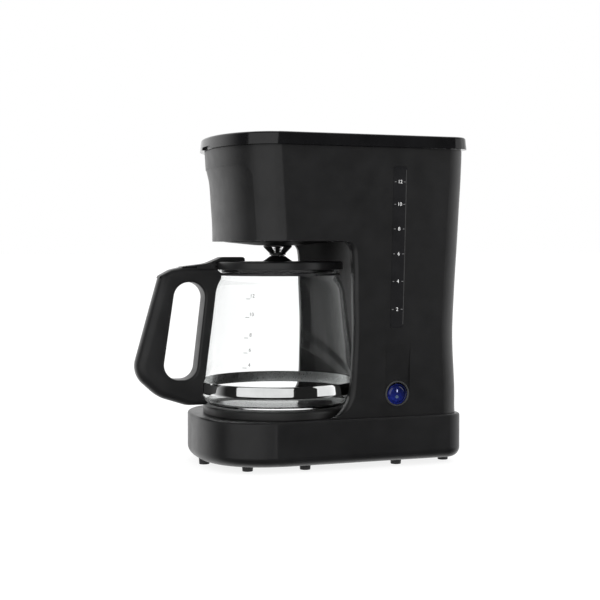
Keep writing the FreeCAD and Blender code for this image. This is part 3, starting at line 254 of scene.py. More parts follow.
class Nodes:
    """A material's node tree, with short ways to add and link nodes."""

    def __init__(self, name):
        self.material = bpy.data.materials.new(name)
        self.material.use_nodes = True
        self.tree = self.material.node_tree
        self.shader = self.tree.nodes["Principled BSDF"]
        self.place = self.node("ShaderNodeTexCoord").outputs["Object"]

    def node(self, kind, **values):
        """A new node with its inputs or settings given by name."""
        made = self.tree.nodes.new(kind)
        for key, value in values.items():
            if key in made.inputs:
                made.inputs[key].default_value = value
            else:
                setattr(made, key, value)
        return made

    def link(self, source, target):
        """Joins an output to an input."""
        self.tree.links.new(source, target)

    def noise(self, scale, detail=3.0, stretch=(1, 1, 1)):
        """Noise over the object's own coordinates; scale counts features per metre."""
        mapping = self.node("ShaderNodeMapping")
        mapping.inputs["Scale"].default_value = stretch
        self.link(self.place, mapping.inputs["Vector"])
        made = self.node("ShaderNodeTexNoise", Scale=scale, Detail=detail)
        self.link(mapping.outputs["Vector"], made.inputs["Vector"])
        return made.outputs["Fac"]

    def spread(self, source, to_low, to_high, from_low=0.3, from_high=0.7):
        """The source stretched from one range to another."""
        made = self.node("ShaderNodeMapRange")
        set_range(made, from_low, from_high, to_low, to_high)
        self.link(source, made.inputs["Value"])
        return made.outputs["Result"]

    def blend(self, factor, first, second):
        """A colour between two."""
        made = self.node("ShaderNodeMix", data_type="RGBA")
        made.inputs[FIRST_COLOUR].default_value = (*first, 1)
        made.inputs[SECOND_COLOUR].default_value = (*second, 1)
        self.link(factor, made.inputs["Factor"])
        return made.outputs[MIXED_COLOUR]

    def bump(self, height, distance, strength=1.0, before=None):
        """A bump of so many metres, added to an earlier one."""
        made = self.node("ShaderNodeBump", Strength=strength, Distance=distance)
        self.link(height, made.inputs["Height"])
        if before is not None:
            self.link(before, made.inputs["Normal"])
        return made.outputs["Normal"]

    def fix(self, name, value):
        """Gives one of the shader's inputs a plain value."""
        self.shader.inputs[name].default_value = value

    def mottle(self, scale, first, second, detail=3.0):
        """A base colour that drifts between two, in patches of so many per metre."""
        patches = self.spread(self.noise(scale, detail), 0, 1)
        self.link(self.blend(patches, first, second), self.shader.inputs["Base Color"])

    def gloss(self, source, smoothest, roughest):
        """A roughness that drifts between two."""
        self.link(self.spread(source, smoothest, roughest), self.shader.inputs["Roughness"])

    def relief(self, normal):
        """Gives the shader a bumped surface."""
        self.link(normal, self.shader.inputs["Normal"])


def shade(colour, factor):
    """A colour made darker or lighter."""
    return tuple(c * factor for c in colour)


def moulded(name, colour, rough, grain=0.00002, grain_size=0.00028, specular=0.5):
    """Moulded plastic: spark-eroded grain, faint flow in its colour, uneven gloss."""
    n = Nodes(name)
    n.mottle(38, shade(colour, 0.8), shade(colour, 1.25))
    n.gloss(n.noise(90, 5), rough - 0.03, rough + 0.04)
    wave = n.bump(n.noise(14, 1), 0.00012, 0.35)
    n.relief(n.bump(n.noise(1 / grain_size, 2), grain, 0.5, wave))
    n.fix("Specular IOR Level", specular)
    return n.material


def metal(name, colour, rough, stretch=(1, 1, 1), streak=700):
    """Metal with fine drawn or polished streaks."""
    n = Nodes(name)
    n.fix("Metallic", 1.0)
    streaks = n.noise(streak, 4, stretch)
    n.mottle(60, shade(colour, 0.9), colour)
    n.gloss(streaks, rough * 0.8, rough * 1.3)
    n.relief(n.bump(streaks, 0.000003, 0.4))
    return n.material


def clear(name, colour, ior, rough):
    """Glass or clear plastic with the faint unevenness of blown or moulded walls."""
    n = Nodes(name)
    n.fix("Transmission Weight", 1.0)
    n.fix("IOR", ior)
    n.fix("Specular IOR Level", 0.35)
    n.mottle(25, shade(colour, 0.985), colour)
    n.gloss(n.noise(45, 4), rough, rough + 0.015)
    n.relief(n.bump(n.noise(22, 1, (1, 1, 0.35)), 0.00025, 0.25))
    return n.material


def rubber(name, colour):
    """Soft rubber: dull, with a fine pitted surface."""
    n = Nodes(name)
    n.mottle(160, shade(colour, 0.7), colour, 4)
    n.gloss(n.noise(240), 0.62, 0.8)
    n.relief(n.bump(n.noise(2400), 0.00004, 0.5))
    return n.material


def ink(name, colour):
    """Screen-printed ink with slightly uneven cover."""
    n = Nodes(name)
    n.mottle(1500, shade(colour, 0.82), colour)
    n.gloss(n.noise(900), 0.4, 0.6)
    n.relief(n.bump(n.noise(4000), 0.00001, 0.4))
    return n.material


def lit_blue(name):
    """Glossy dark blue plastic of the switch, brighter low down, where the lamp shows through."""
    n = Nodes(name)
    split = n.node("ShaderNodeSeparateXYZ")
    n.link(n.place, split.inputs["Vector"])
    reach = 9 * MM
    middle_y = SWITCH.y * MM
    middle_z = SWITCH.z * MM
    low_down = n.spread(split.outputs["Z"], 0.5, 0, middle_z - reach, middle_z + reach / 2)
    to_front = n.spread(split.outputs["Y"], 0.5, 0, middle_y - reach, middle_y + reach)
    glow = n.node("ShaderNodeMath", operation="ADD")
    n.link(low_down, glow.inputs[0])
    n.link(to_front, glow.inputs[1])
    uneven = n.node("ShaderNodeMath", operation="MULTIPLY")
    n.link(glow.outputs["Value"], uneven.inputs[0])
    n.link(n.spread(n.noise(420, 2), 0.45, 1.2), uneven.inputs[1])
    unlit = (0.002, 0.003, 0.014)
    lit = (0.009, 0.019, 0.20)
    n.link(n.blend(uneven.outputs["Value"], unlit, lit), n.shader.inputs["Base Color"])
    n.gloss(n.noise(500), 0.1, 0.2)
    n.relief(n.bump(n.noise(300, 1), 0.00005, 0.3))
    n.fix("Coat Weight", 0.6)
    n.fix("Coat Roughness", 0.06)
    return n.material


# After each colour comes the roughness, then, for some, the depth and size of the surface's
# grain in metres, or the stretch and scale of its streaks.
MATERIALS = {
    "base_plastic": moulded("base_plastic", (0.0075, 0.0075, 0.008), 0.36),
    "body_plastic": moulded("body_plastic", (0.0078, 0.0078, 0.0082), 0.37),
    "lid_plastic": moulded("lid_plastic", (0.006, 0.006, 0.0065), 0.13, 0.000004),
    "handle_plastic": moulded("handle_plastic", (0.010, 0.010, 0.0105), 0.38, specular=0.38),
    "jug_lid_plastic": moulded("jug_lid_plastic", (0.010, 0.010, 0.0105), 0.34),
    "inner_plastic": moulded("inner_plastic", (0.012, 0.012, 0.0125), 0.42),
    "tank_plastic": moulded("tank_plastic", (0.03, 0.03, 0.032), 0.3),
    "window_clear": moulded("window_clear", (0.0078, 0.0078, 0.0088), 0.31, 0.000004),
    "bezel_plastic": moulded("bezel_plastic", (0.035, 0.035, 0.035), 0.27, 0.000004),
    "block_white": moulded("block_white", (0.62, 0.62, 0.59), 0.45),
    "wire_cover": rubber("wire_cover", (0.32, 0.32, 0.33)),
    "rocker_blue": lit_blue("rocker_blue"),
    "lamp_glass": clear("lamp_glass", (0.55, 0.6, 0.95), 1.45, 0.05),
    "jug_glass": clear("jug_glass", (0.985, 0.992, 0.99), 1.22, 0.0),
    "band_chrome": metal("band_chrome", (0.86, 0.87, 0.87), 0.045, (1, 1, 14), 260),
    "collar_steel": moulded("collar_steel", (0.016, 0.016, 0.017), 0.3, 0.000006),
    "plate_enamel": moulded("plate_enamel", (0.012, 0.012, 0.012), 0.42, 0.00003, 0.0005),
    "zinc_steel": metal("zinc_steel", (0.58, 0.58, 0.6), 0.32),
    "element_steel": metal("element_steel", (0.28, 0.25, 0.23), 0.45),
    "tube_aluminium": metal("tube_aluminium", (0.78, 0.79, 0.8), 0.3),
    "terminal_brass": metal("terminal_brass", (0.72, 0.52, 0.22), 0.28),
    "foot_rubber": rubber("foot_rubber", (0.03, 0.03, 0.031)),
    "seal_rubber": rubber("seal_rubber", (0.02, 0.02, 0.02)),
    "hose_silicone": rubber("hose_silicone", (0.6, 0.6, 0.57)),
}
WHITE_INK = ink("white_ink", (0.82, 0.82, 0.82))
FAINT_INK = ink("faint_ink", (0.22, 0.22, 0.22))
GREY_INK = ink("grey_ink", (0.13, 0.13, 0.13))
PALE_MARK = ink("pale_mark", (0.55, 0.60, 0.95))
GREEN_MARK = ink("green_mark", (0.13, 0.20, 0.26))
# painted shade: the zinc-plated valve spring gets near-black steel, standing in for the shade inside
# the valve cage
SPRING_PAINTED_SHADE = metal("spring_painted_shade", (0.03, 0.03, 0.03), 0.4)
CAP_BLACK = moulded("cap_black", (0.003, 0.003, 0.003), 0.3, 0.000004, specular=0.12)
PLUNGER_BLACK = moulded("plunger_black", (0.006, 0.006, 0.006), 0.5, specular=0.2)
# the handle cap's own black, and the valve spring's painted shade
OWN_LOOK_AND_PAINTED_SHADE = {"valve_spring": SPRING_PAINTED_SHADE, "handle_cap": CAP_BLACK}


# ---- jug -----------------------------------------------------------------------------------
def fine_glass():
    """The glass with its thick foot, waist at the neck and fire-polished rim."""
    outer = smooth_line(GLASS, 8)
    wall_end = GLASS_FLOOR + 2.5
    inner = [point for point in offset_line(outer, -GLASS_WALL) if point[1] > wall_end][::-1]
    crown_line = (outer[-1], (58.5, 181.8), (57.4, 181.9), inner[0])
    crown = smooth_line(crown_line, 5)[1:-1]
    heel = inner[-1]
    floor_line = (heel, (heel[0] - 2.0, 57.9), (heel[0] - 6.0, 57.4), (40, 58.6), (0, 59.0))
    floor = smooth_line(floor_line, 6)[1:]
    over_plate = 0.25
    under_line = ((0, 56.8), (40, 56.5), (60, 55.1), (63.6, PLATE_TOP + over_plate), outer[0])
    under = smooth_line(under_line, 6)[:-1]
    return mesh_of(lathe(outer + crown + inner + floor + under), "glass")


def glass_radius(z):
    """Outer radius of the glass at a height."""
    line = smooth_line(GLASS, 8)
    for (r0, z0), (r1, z1) in zip(line, line[1:]):
        if z <= z1:
            break
    return r0 + (r1 - r0) * (z - z0) / (z1 - z0)


def fine_band():
    """The polished band round the foot of the glass, with rolled edges."""
    z0 = low("chrome_band").z
    z1 = high("chrome_band").z
    levels = [z0 + (z1 - z0) * i / 12 for i in range(13)]
    gap = 0.35                # from the glass to the inside of the band
    inner_side = 0.5          # faces nearer to the glass than this belong to the inside
    rolled_edge = [0.35, 0.62, 0.74, 0.7, 0.66, 0.65]
    thickness = [*rolled_edge, 0.65, *rolled_edge[::-1]]
    inside = [(glass_radius(z) + gap, z) for z in levels]
    outside = [(r + thick, z) for (r, z), thick in zip(inside, thickness)]
    bm = lathe(inside + outside[::-1])
    for face in bm.faces:
        spot = face.calc_center_median()
        from_axis = math.hypot(spot.x, spot.y - JUG_Y)
        face.material_index = int(from_axis < glass_radius(spot.z) + inner_side)
    return mesh_of(bm, "band")


def fine_collar():
    """The thin coated band round the neck."""
    r = high("neck_collar").x
    z0 = low("neck_collar").z
    z1 = high("neck_collar").z
    inner_r = r - 0.9
    corners = ((inner_r, z0, 0.2), (r, z0, 0.35), (r, z1, 0.35), (inner_r, z1, 0.2))
    return mesh_of(lathe(round_corners(corners, 4)), "collar")


def fine_jug_lid():
    """The jug lid: plug, soft-edged top and the raised dome under the valve."""
    r = (high("jug_lid").x - low("jug_lid").x) / 2
    brew_hole = 2.6
    plug_r = 50.0
    plug_rim = 52.4
    plug_foot = 176.5
    seat = 182.7              # where the lid rests on the rim of the glass
    skirt_r = r - 1.4
    skirt_foot = 179.2
    top = LID_TOP
    ceiling = top - 2.4
    dome = high("jug_lid").z
    corners = (
        (brew_hole, ceiling, 0), (plug_r, ceiling, 0.6), (plug_r, plug_foot, 0.5),
        (plug_rim, plug_foot, 0.5), (plug_rim, seat, 0.6), (skirt_r, seat, 0.5),
        (skirt_r, skirt_foot, 0.3), (r, skirt_foot, 0.6), (r, top, 1.6), (14.3, top, 0.8),
        (10.6, top + 2.5, 3.0), (7.6, dome - 0.5, 1.0), (6.6, dome, 0.8), (brew_hole, dome, 0.4),
    )
    return mesh_of(lathe(round_corners(corners, 5)), "jug_lid")


JUG_PIECES = {
    "glass_jug": fine_glass,
    "chrome_band": fine_band,
    "neck_collar": fine_collar,
    "jug_lid": fine_jug_lid,
}
for node, make in JUG_PIECES.items():
    piece = stand_in(node, make())
    piece.data.materials.append(MATERIALS[SLOT_OF[node]])
    piece.visible_shadow = node != "glass_jug"
    if node == "chrome_band":
        piece.data.materials.append(metal("band_inside", (0.80, 0.81, 0.81), 0.3))


# ---- handle ---------------------------------------------------------------------------------
# Corners are (distance in front of the jug's axis, height, corner radius). Where a number
# follows a corner, the edge that starts there is rounded over by it.
GRIP = (
    ((47.6, 181.3, 0), 4.2), ((94.1, 181.3, 10), 4.2), ((103.1, 179.3, 14), 4.6),
    ((113.8, 173.6, 4.6), 8.6), ((124.0, 138.0, 60), 8.6), ((131.0, 113.0, 60), 8.6),
    ((138.9, 85.0, 22), 8.2), ((115.4, 63.9, 30), 7.0), ((90.3, 55.6, 22), 4.6),
    ((47.6, 55.6, 0), 0.0),
)
FINGER_HOLE = ((70.8, 167.6, 14), (99.6, 168.0, 14), (112.9, 79.3, 14), (81.4, 79.0, 13))
EAR = (
    (79.6, 180.0, 0), (63.0, 180.0, 0), (63.0, 186.4, 1.9), (69.1, 184.1, 6.0), (79.6, 182.6, 0),
)
BETWEEN_EARS = ((50, 170, 0), (90, 170, 0), (90, 200, 0), (50, 200, 0))
CAP_ROOM = (
    (94.6, 220, 0), (139.6, 220, 0), (116.1, 171.9, 0), (112.6, 171.6, 0), (102.4, 176.9, 0),
    (94.6, 179.0, 0),
)
THUMB_LEVER = (
    ((34.1, 190.7, 2.6), 0.9), ((55.7, 190.7, 8), 0.9), ((69.7, 184.8, 28), 0.35),
    ((93.3, 181.95, 0.3), 0.0), ((93.3, 181.45, 0), 0.0), ((63.9, 181.45, 1.5), 0.0),
    ((61.5, 186.5, 1.5), 0.5), ((34.1, 186.55, 1.2), 0.9),
)
ARC_STEPS = 24                # steps round each corner of a plate
EDGE_STEPS = 8                # steps across each rounded-over edge
BAR_STEPS = 48                # steps round a bored hole

HOLE_FLARE = 2.6              # how far the finger hole opens toward both sides
CAP_HALF = 6.0                # half of the cap's width where it sinks into the grip
SCREW_ROOM_R = 3.1
SCREW_ROOM_END = 93.6         # from the jug's axis to the bottom of the screw's recess
PIN_ROOM_R = 1.1
EAR_GAP_HALF = 8.3            # half of the gap between the two ears


def moved_corners(corners, gaps):
    """A closed polygon of (u, v, radius) corners with each edge moved inward by its own gap."""
    nearly_straight = 0.1
    least_radius = 0.3
    points = [Vector(c[:2]) for c in corners]
    count = len(points)
    area = sum(a.x * b.y - b.x * a.y for a, b in zip(points, points[1:] + points[:1]))
    lines = []
    for i in range(count):
        along = (points[(i + 1) % count] - points[i]).normalized()
        inward = Vector((-along.y, along.x)) * (1 if area > 0 else -1)
        lines.append((points[i] + inward * gaps[i], along))
    moved = []
    for i, (_, _, radius) in enumerate(corners):
        (p, d), (q, e) = lines[i - 1], lines[i]
        cross = d.x * e.y - d.y * e.x
        reach = ((q.x - p.x) * e.y - (q.y - p.y) * e.x) / cross
        if radius != 0 and abs(cross) >= nearly_straight:
            radius = max(radius - (gaps[i - 1] + gaps[i]) / 2, least_radius)
        spot = p + d * reach
        moved.append((spot.x, spot.y, radius))
    return moved


def rounded_plate(corners, rounds, half):
    """A plate across X whose edges are rounded over by rounds; a negative one flares its edge."""
    turns = [math.pi / 2 * i / EDGE_STEPS for i in range(EDGE_STEPS + 1)]
    rings = []
    for side in (-1, 1):
        for turn in turns[::side]:
            gaps = [r * (1 - math.cos(turn)) for r in rounds]
            depths = [half - abs(r) * (1 - math.sin(turn)) for r in rounds]
            line = round_corners(moved_corners(corners, gaps), ARC_STEPS)
            across = []
            for i, (_, _, radius) in enumerate(corners):
                before = depths[i - 1]
                after = depths[i]
                shares = [k / ARC_STEPS for k in range(ARC_STEPS + 1)] if radius else [0.5]
                across += [before + (after - before) * share for share in shares]
            rings.append([(side * x, JUG_Y - u, v) for x, (u, v) in zip(across, line)])
    return loft(rings)


def outlined_plate(outline, half):
    """A rounded plate from pairs of a corner and its edge's rounding."""
    corners = [corner for corner, _ in outline]
    rounds = [rounding for _, rounding in outline]
    return rounded_plate(corners, rounds, half)


def square_plate(corners, half):
    """A plate across X with square edges."""
    return rounded_plate(corners, [0.0] * len(corners), half)


def bar_along(axis, radius, start, end, z, y=0.0):
    """A round bar for boring holes, along X at a given y, or along Y in the middle plane."""
    rings = []
    for place in (start, end):
        ring = []
        for k in range(BAR_STEPS):
            turn = 2 * math.pi * k / BAR_STEPS
            aside = radius * math.cos(turn)
            height = z + radius * math.sin(turn)
            ring.append((place, y + aside, height) if axis == "X" else (aside, place, height))
        rings.append(ring)
    return loft(rings)


def jug_room():
    """The space that the handle leaves for the glass, the band, the rim and the jug lid."""
    band_zone = 78            # the handle keeps clear of the band below this height
    clear_of_band = 1.4
    clear_of_glass = 0.4
    room = [(0, 40), (75.0, 40)]
    for z in [58 + i * 2.4 for i in range(48)]:
        gap = clear_of_band if z < band_zone else clear_of_glass
        room.append((glass_radius(z) + gap, z))
    room += [(58.4, 173.4), (58.4, 176.0), (61.35, 178.3), (61.35, 200), (0, 200)]
    return lathe(room)


def fine_handle():
    """The grip with its full round front, the finger hole, and the ears of the thumb lever."""
    half = (high("handle").x - low("handle").x) / 2
    nudge = 0.01              # keeps the sides of two solids out of one plane
    past = 1.0                # how far a bored hole runs past both sides
    outside = 160             # well in front of the handle
    pin = middle("lever_pin")
    grip = outlined_plate(GRIP, half)
    hole = rounded_plate(FINGER_HOLE, [-HOLE_FLARE] * len(FINGER_HOLE), half + nudge)
    cap_room = square_plate(CAP_ROOM, CAP_HALF)
    screw_z = middle("chrome_band").z
    screw_room = bar_along("Y", SCREW_ROOM_R, JUG_Y - outside, JUG_Y - SCREW_ROOM_END, screw_z)
    pin_room = bar_along("X", PIN_ROOM_R, -half - past, half + past, pin.z, pin.y)
    ears = carve(square_plate(EAR, half - nudge), [square_plate(BETWEEN_EARS, EAR_GAP_HALF)])
    grip = carve(grip, [ears], "UNION")
    return mesh_of(carve(grip, [hole, jug_room(), cap_room, screw_room, pin_room]), "handle")


def fine_lever():
    """The thumb lever with softened edges and its tip over the jug lid."""
    return mesh_of(outlined_plate(THUMB_LEVER, high("thumb_lever").x), "lever")


for node, make in {"handle": fine_handle, "thumb_lever": fine_lever}.items():
    piece = stand_in(node, make())
    piece.data.materials.append(MATERIALS["handle_plastic"])


# ---- valve ----------------------------------------------------------------------------------
def fine_plunger():
    """The plunger with a wide soft foot that fills the waist between the cage and the dome."""
    foot = low("valve_plunger").z
    top = high("valve_plunger").z
    sole = foot - 0.17
    pad_r = 6.4
    neck_r = 4.6
    stem_r = 1.5
    corners = (
        (0, sole, 0), (pad_r, sole, 0.25), (pad_r, foot + 0.6, 0.2), (neck_r, foot + 0.7, 0.1),
        (neck_r, foot + 2.4, 0.3), (stem_r, foot + 2.6, 0.1), (stem_r, top, 0.3), (0, top, 0),
    )
    return mesh_of(lathe(round_corners(corners, 4), around=96), "plunger")


plunger = stand_in("valve_plunger", fine_plunger())
plunger.data.materials.append(PLUNGER_BLACK)


# ---- switch -------------------------------------------------------------------------------
ROCKER_FACE = 6.3             # from the rocker's pivot to its face
ROCKER_TILT = 5.0             # degrees that the rocker leans in its on position


def switch_place():
    """Turns a piece made about +Z so that it faces out of the switch, leaning as the rocker."""
    turn = Matrix.Rotation(math.radians(90 + ROCKER_TILT), 4, "Y")
    return Matrix.Translation(ROCKER_PIVOT) @ turn


def fine_rocker():
    """The round rocker, with a shallow dish in its face and a soft rim."""
    r = (high("switch_rocker").y - low("switch_rocker").y) / 2
    face = ROCKER_FACE
    back = face - 3.5
    hub = 2.4
    dish = smooth_line(((0, face - 0.45), (3.5, face - 0.38), (6.5, face - 0.14)), 6)
    rim = round_corners(((r - 1.4, face, 0.9), (r, face - 0.15, 0.7), (r, back, 0.2)), 6)
    bm = lathe([*dish, *rim, (hub, back), (hub, -hub), (0, -hub)], 0, 0, around=96)
    bm.transform(switch_place())
    return mesh_of(bm, "rocker")


rocker = stand_in("switch_rocker", fine_rocker())
rocker.data.materials.append(MATERIALS["rocker_blue"])


# ---- printed marks --------------------------------------------------------------------------
# (cups, height of the figure)
WINDOW_CUPS = ((12, 258.2), (10, 238.1), (8, 216.0), (6, 193.6), (4, 168.8), (2, 143.6))
JUG_CUPS = ((12, 156.2), (10, 139.8), (8, 121.7), (6, 108.5), (4, 95.3))
INK_THICK = 0.05
FIGURE_SHARE = 0.69           # how tall a figure is in a font of size 1


def gather(target, bm, place):
    """Adds a bmesh to another at a place."""
    bm.transform(place)
    step = bpy.data.meshes.new("step")
    bm.to_mesh(step)
    bm.free()
    target.from_mesh(step)
    bpy.data.meshes.remove(step)


def lettering(words, tall):
    """Thin solid figures, tall millimetres high, centred on the origin and facing +Z."""
    curve = bpy.data.curves.new("lettering", "FONT")
    curve.body = words
    curve.size = tall / FIGURE_SHARE
    curve.align_x = "CENTER"
    curve.align_y = "CENTER"
    curve.extrude = INK_THICK / 2
    curve.resolution_u = 4
    holder = bpy.data.objects.new("lettering", curve)
    bpy.context.scene.collection.objects.link(holder)
    graph = bpy.context.evaluated_depsgraph_get()
    made = bpy.data.meshes.new_from_object(holder.evaluated_get(graph))
    bm = bmesh.new()
    bm.from_mesh(made)
    bmesh.ops.remove_doubles(bm, verts=bm.verts, dist=0.0005)
    bpy.data.objects.remove(holder)
    return bm


def dash(wide, tall, thick=INK_THICK):
    """A thin printed dash with round ends, centred on the origin and facing +Z."""
    half = wide / 2
    r = tall / 2
    end = r * 0.95
    corners = ((-half, -r, end), (half, -r, end), (half, r, end), (-half, r, end))
    line = round_corners(corners, 4)
    return loft([[(u, v, z) for u, v in line] for z in (-thick / 2, thick / 2)])


def print_on(name, parts, body, ink_material):
    """One piece of printed marks from (bmesh, place) pairs."""
    whole = bmesh.new()
    for bm, place in parts:
        gather(whole, bm, place)
    piece = add(name, mesh_of(whole, name), body)
    piece.data.materials.append(ink_material)


def window_y(z):
    """Where the window's middle line lies at a height; the window leans with the column."""
    z0 = low("level_window").z
    z1 = high("level_window").z
    y0 = low("level_window").y + WINDOW_HALF
    y1 = high("level_window").y - WINDOW_HALF
    return y0 + (y1 - y0) * (z - z0) / (z1 - z0)


def window_x(y, z):
    """Where the outside of the window lies, found with a ray from the +X side."""
    graph = bpy.context.evaluated_depsgraph_get()
    tree = BVHTree.FromObject(frame["nodes"]["level_window"], graph)
    hit = tree.ray_cast(Vector((1, y * MM, z * MM)), Vector((-1, 0, 0)))[0]
    return hit.x / MM


def on_window(x, y, z):
    """A place on the window side: the piece's +X runs to the rear, its +Z points outward."""
    turn = Matrix(((0, 0, 1), (1, 0, 0), (0, 1, 0))).to_4x4()
    return Matrix.Translation((x, y, z)) @ turn


def on_glass(degrees, z):
    """A place on the jug's glass at a height, some degrees round from +X, facing outward."""
    proud = 0.12
    turn = math.radians(degrees)
    slope = glass_radius(z + 1) - glass_radius(z - 1)
    out = Vector((math.cos(turn), math.sin(turn), 0))
    along = Vector((-math.sin(turn), math.cos(turn), 0))
    up = (out * slope / 2 + Vector((0, 0, 1))).normalized()
    spot = Vector((0, JUG_Y, z)) + out * (glass_radius(z) + proud)
    turned = Matrix((along, up, along.cross(up))).transposed().to_4x4()
    return Matrix.Translation(spot) @ turned


def window_marks():
    """Cup numbers down the middle of the window, with a short dash on each side."""
    proud = 0.07
    figure_tall = 3.1
    dash_wide = 1.7
    dash_tall = 0.5
    dash_away = 4.4           # from the middle of the window
    figures = []
    dashes = []
    for cups, z in WINDOW_CUPS:
        y = window_y(z)
        x = window_x(y, z) + proud
        figures.append((lettering(str(cups), figure_tall), on_window(x, y, z)))
        for side in (-1, 1):
            place = on_window(x, y + side * dash_away, z)
            dashes.append((dash(dash_wide, dash_tall), place))
    print_on("window_figures", figures, "machine", WHITE_INK)
    print_on("window_dashes", dashes, "machine", FAINT_INK)


def window_edge():
    """The lip of the window along its rear edge, in a lighter plastic that paints a highlight where
    the edge catches the light.
    """
    steps = 30
    short = 3                 # how far the lip stays from both ends of the window
    inset = 0.55
    z0 = low("level_window").z
    z1 = high("level_window").z
    sections = []
    for i in range(steps):
        z = z0 + short + (z1 - z0 - 2 * short) * i / (steps - 1)
        y = window_y(z) + WINDOW_HALF - inset
        x = window_x(y, z)
        profile = ((-0.3, -0.5), (0.02, -0.4), (0.10, 0), (0.02, 0.4), (-0.3, 0.5))
        sections.append([(x + outward, y + aside, z) for outward, aside in profile])
    piece = add("window_lip_painted_highlight", mesh_of(loft(sections), "lip"), "machine")
    # the lighter bezel plastic is a painted highlight along the window's rear edge
    piece.data.materials.append(MATERIALS["bezel_plastic"])


def jug_marks():
    """Cup numbers on the glass, each with a tick below and before it."""
    figure_turn = -39.0
    tick_turn = -42.5
    tick_lift = -2.6
    parts = []
    for cups, z in JUG_CUPS:
        parts.append((lettering(str(cups), 3.2), on_glass(figure_turn, z)))
        parts.append((dash(4.2, 0.45), on_glass(tick_turn, z + tick_lift)))
    print_on("jug_marks", parts, "jug", GREY_INK)


def rocker_marks():
    """A bar above and a ring below on the face of the rocker."""
    face = ROCKER_FACE - 0.36
    bar_up = 3.0
    ring_down = 2.6
    thick = 0.2
    quarter = Matrix.Rotation(math.radians(90), 4, "Z")
    upright = switch_place() @ quarter
    bar_place = upright @ (Matrix.Translation((0, bar_up, face)) @ quarter)
    bar = dash(2.6, 0.9, thick)
    print_on("rocker_bar", [(bar, bar_place)], "rocker", PALE_MARK)
    half = thick / 2
    ring = lathe([(0.75, -half), (1.25, -half), (1.25, half), (0.75, half)], 0, 0, around=48)
    ring_place = upright @ Matrix.Translation((0, -ring_down, face))
    print_on("rocker_ring", [(ring, ring_place)], "rocker", GREEN_MARK)


window_marks()
window_edge()
jug_marks()
rocker_marks()


# ---- CAD nodes that show as they are ---------------------------------------------------------
for name, node in frame["nodes"].items():
    node.data.materials.clear()
    node.data.materials.append(OWN_LOOK_AND_PAINTED_SHADE.get(name, MATERIALS[SLOT_OF[name]]))


# ---- stage -------------------------------------------------------------------------------------
BRIGHT_SIDE = (-0.943, 0.331, 0.0)     # where the surround is bright for faces that mirror it

# name: azimuth in degrees, distance, height, width and tall in metres, power in watts
SOFT_BOXES = {
    "box_left": (53, 1.7, 0.35, 2.9, 1.6, 12.5),
    "box_right": (151, 1.7, 0.35, 1.5, 1.6, 6.8),
    "box_top": (200, 0.6, 1.9, 1.6, 1.6, 6),
}


def pale_floor():
    """A wide pale floor that glows a little, so that it stays even under the object."""
    floor = bpy.data.objects.new("floor", bpy.data.meshes.new("floor"))
    bpy.context.scene.collection.objects.link(floor)
    bm = bmesh.new()
    bmesh.ops.create_grid(bm, x_segments=2, y_segments=2, size=60)
    bm.to_mesh(floor.data)
    bm.free()
    paint = Nodes("floor_paint")
    shade = paint.blend(paint.noise(3), (0.22, 0.22, 0.22), (0.25, 0.25, 0.25))
    paint.link(shade, paint.shader.inputs["Base Color"])
    paint.fix("Roughness", 0.9)
    paint.fix("Specular IOR Level", 0.1)
    paint.fix("Emission Color", (1, 1, 1, 1))
    paint.fix("Emission Strength", 0.84)
    floor.data.materials.append(paint.material)
    floor.visible_glossy = False


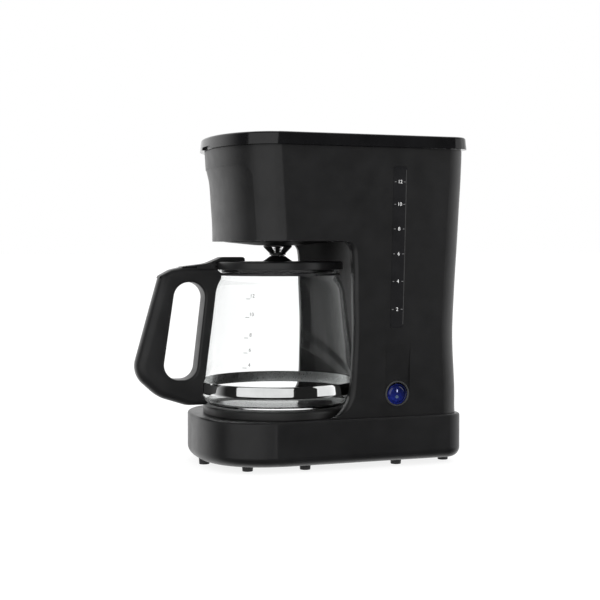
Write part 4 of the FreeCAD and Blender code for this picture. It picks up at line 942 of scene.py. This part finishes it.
def surround():
    """A white world, even for light and for direct view, but dim on one side in reflections."""
    world = bpy.data.worlds.new("surround")
    bpy.context.scene.world = world
    world.use_nodes = True
    tree = world.node_tree
    tree.nodes.clear()
    path = tree.nodes.new("ShaderNodeLightPath")
    place = tree.nodes.new("ShaderNodeTexCoord")
    toward = tree.nodes.new("ShaderNodeVectorMath")
    toward.operation = "DOT_PRODUCT"
    toward.inputs[1].default_value = BRIGHT_SIDE
    tree.links.new(place.outputs["Generated"], toward.inputs[0])
    glow = tree.nodes.new("ShaderNodeMapRange")
    glow.interpolation_type = "SMOOTHSTEP"
    set_range(glow, -0.25, 0.5, 0.02, 1.42)
    tree.links.new(toward.outputs["Value"], glow.inputs["Value"])
    even = tree.nodes.new("ShaderNodeBackground")
    even.inputs["Color"].default_value = (1, 1, 1, 1)
    shaped = tree.nodes.new("ShaderNodeBackground")
    tree.links.new(glow.outputs["Result"], shaped.inputs["Strength"])
    mix = tree.nodes.new("ShaderNodeMixShader")
    mirrored = tree.nodes.new("ShaderNodeMath")
    mirrored.operation = "MINIMUM"
    tree.links.new(path.outputs["Glossy Depth"], mirrored.inputs[0])
    mirrored.inputs[1].default_value = 1.0
    tree.links.new(mirrored.outputs["Value"], mix.inputs["Fac"])
    tree.links.new(even.outputs[0], mix.inputs[1])
    tree.links.new(shaped.outputs[0], mix.inputs[2])
    out = tree.nodes.new("ShaderNodeOutputWorld")
    tree.links.new(mix.outputs[0], out.inputs["Surface"])


def soft_box(name, azimuth, distance, height, width, tall, power):
    """A rectangular light that faces the object; azimuth 0 is in front, 90 on the window side."""
    light = bpy.data.lights.new(name, "AREA")
    light.shape = "RECTANGLE"
    light.size = width
    light.size_y = tall
    light.energy = power
    lamp = bpy.data.objects.new(name, light)
    turn = math.radians(azimuth)
    lamp.location = (distance * math.sin(turn), -distance * math.cos(turn), height)
    aim = Vector((0, 0, 0.15)) - lamp.location
    lamp.rotation_euler = aim.to_track_quat("-Z", "Y").to_euler()
    lamp.visible_camera = False
    lamp.visible_transmission = False
    bpy.context.scene.collection.objects.link(lamp)


def long_lens_view():
    """The camera, low on the window side and far off, aimed a little behind the jug's axis."""
    aim = Vector((0, JUG_Y + 22.2, 149.96)) * MM
    spot = aim + Vector((1.0710, -0.3759, 0.04644))
    data = bpy.data.cameras.new("camera")
    data.sensor_width = 36
    data.lens = 72.2
    camera = bpy.data.objects.new("camera", data)
    camera.location = spot
    camera.rotation_euler = (aim - spot).to_track_quat("-Z", "Y").to_euler()
    bpy.context.scene.collection.objects.link(camera)
    bpy.context.scene.camera = camera
    bpy.context.scene.view_settings.view_transform = "Standard"


pale_floor()
surround()
for name, values in SOFT_BOXES.items():
    soft_box(name, *values)
long_lens_view()
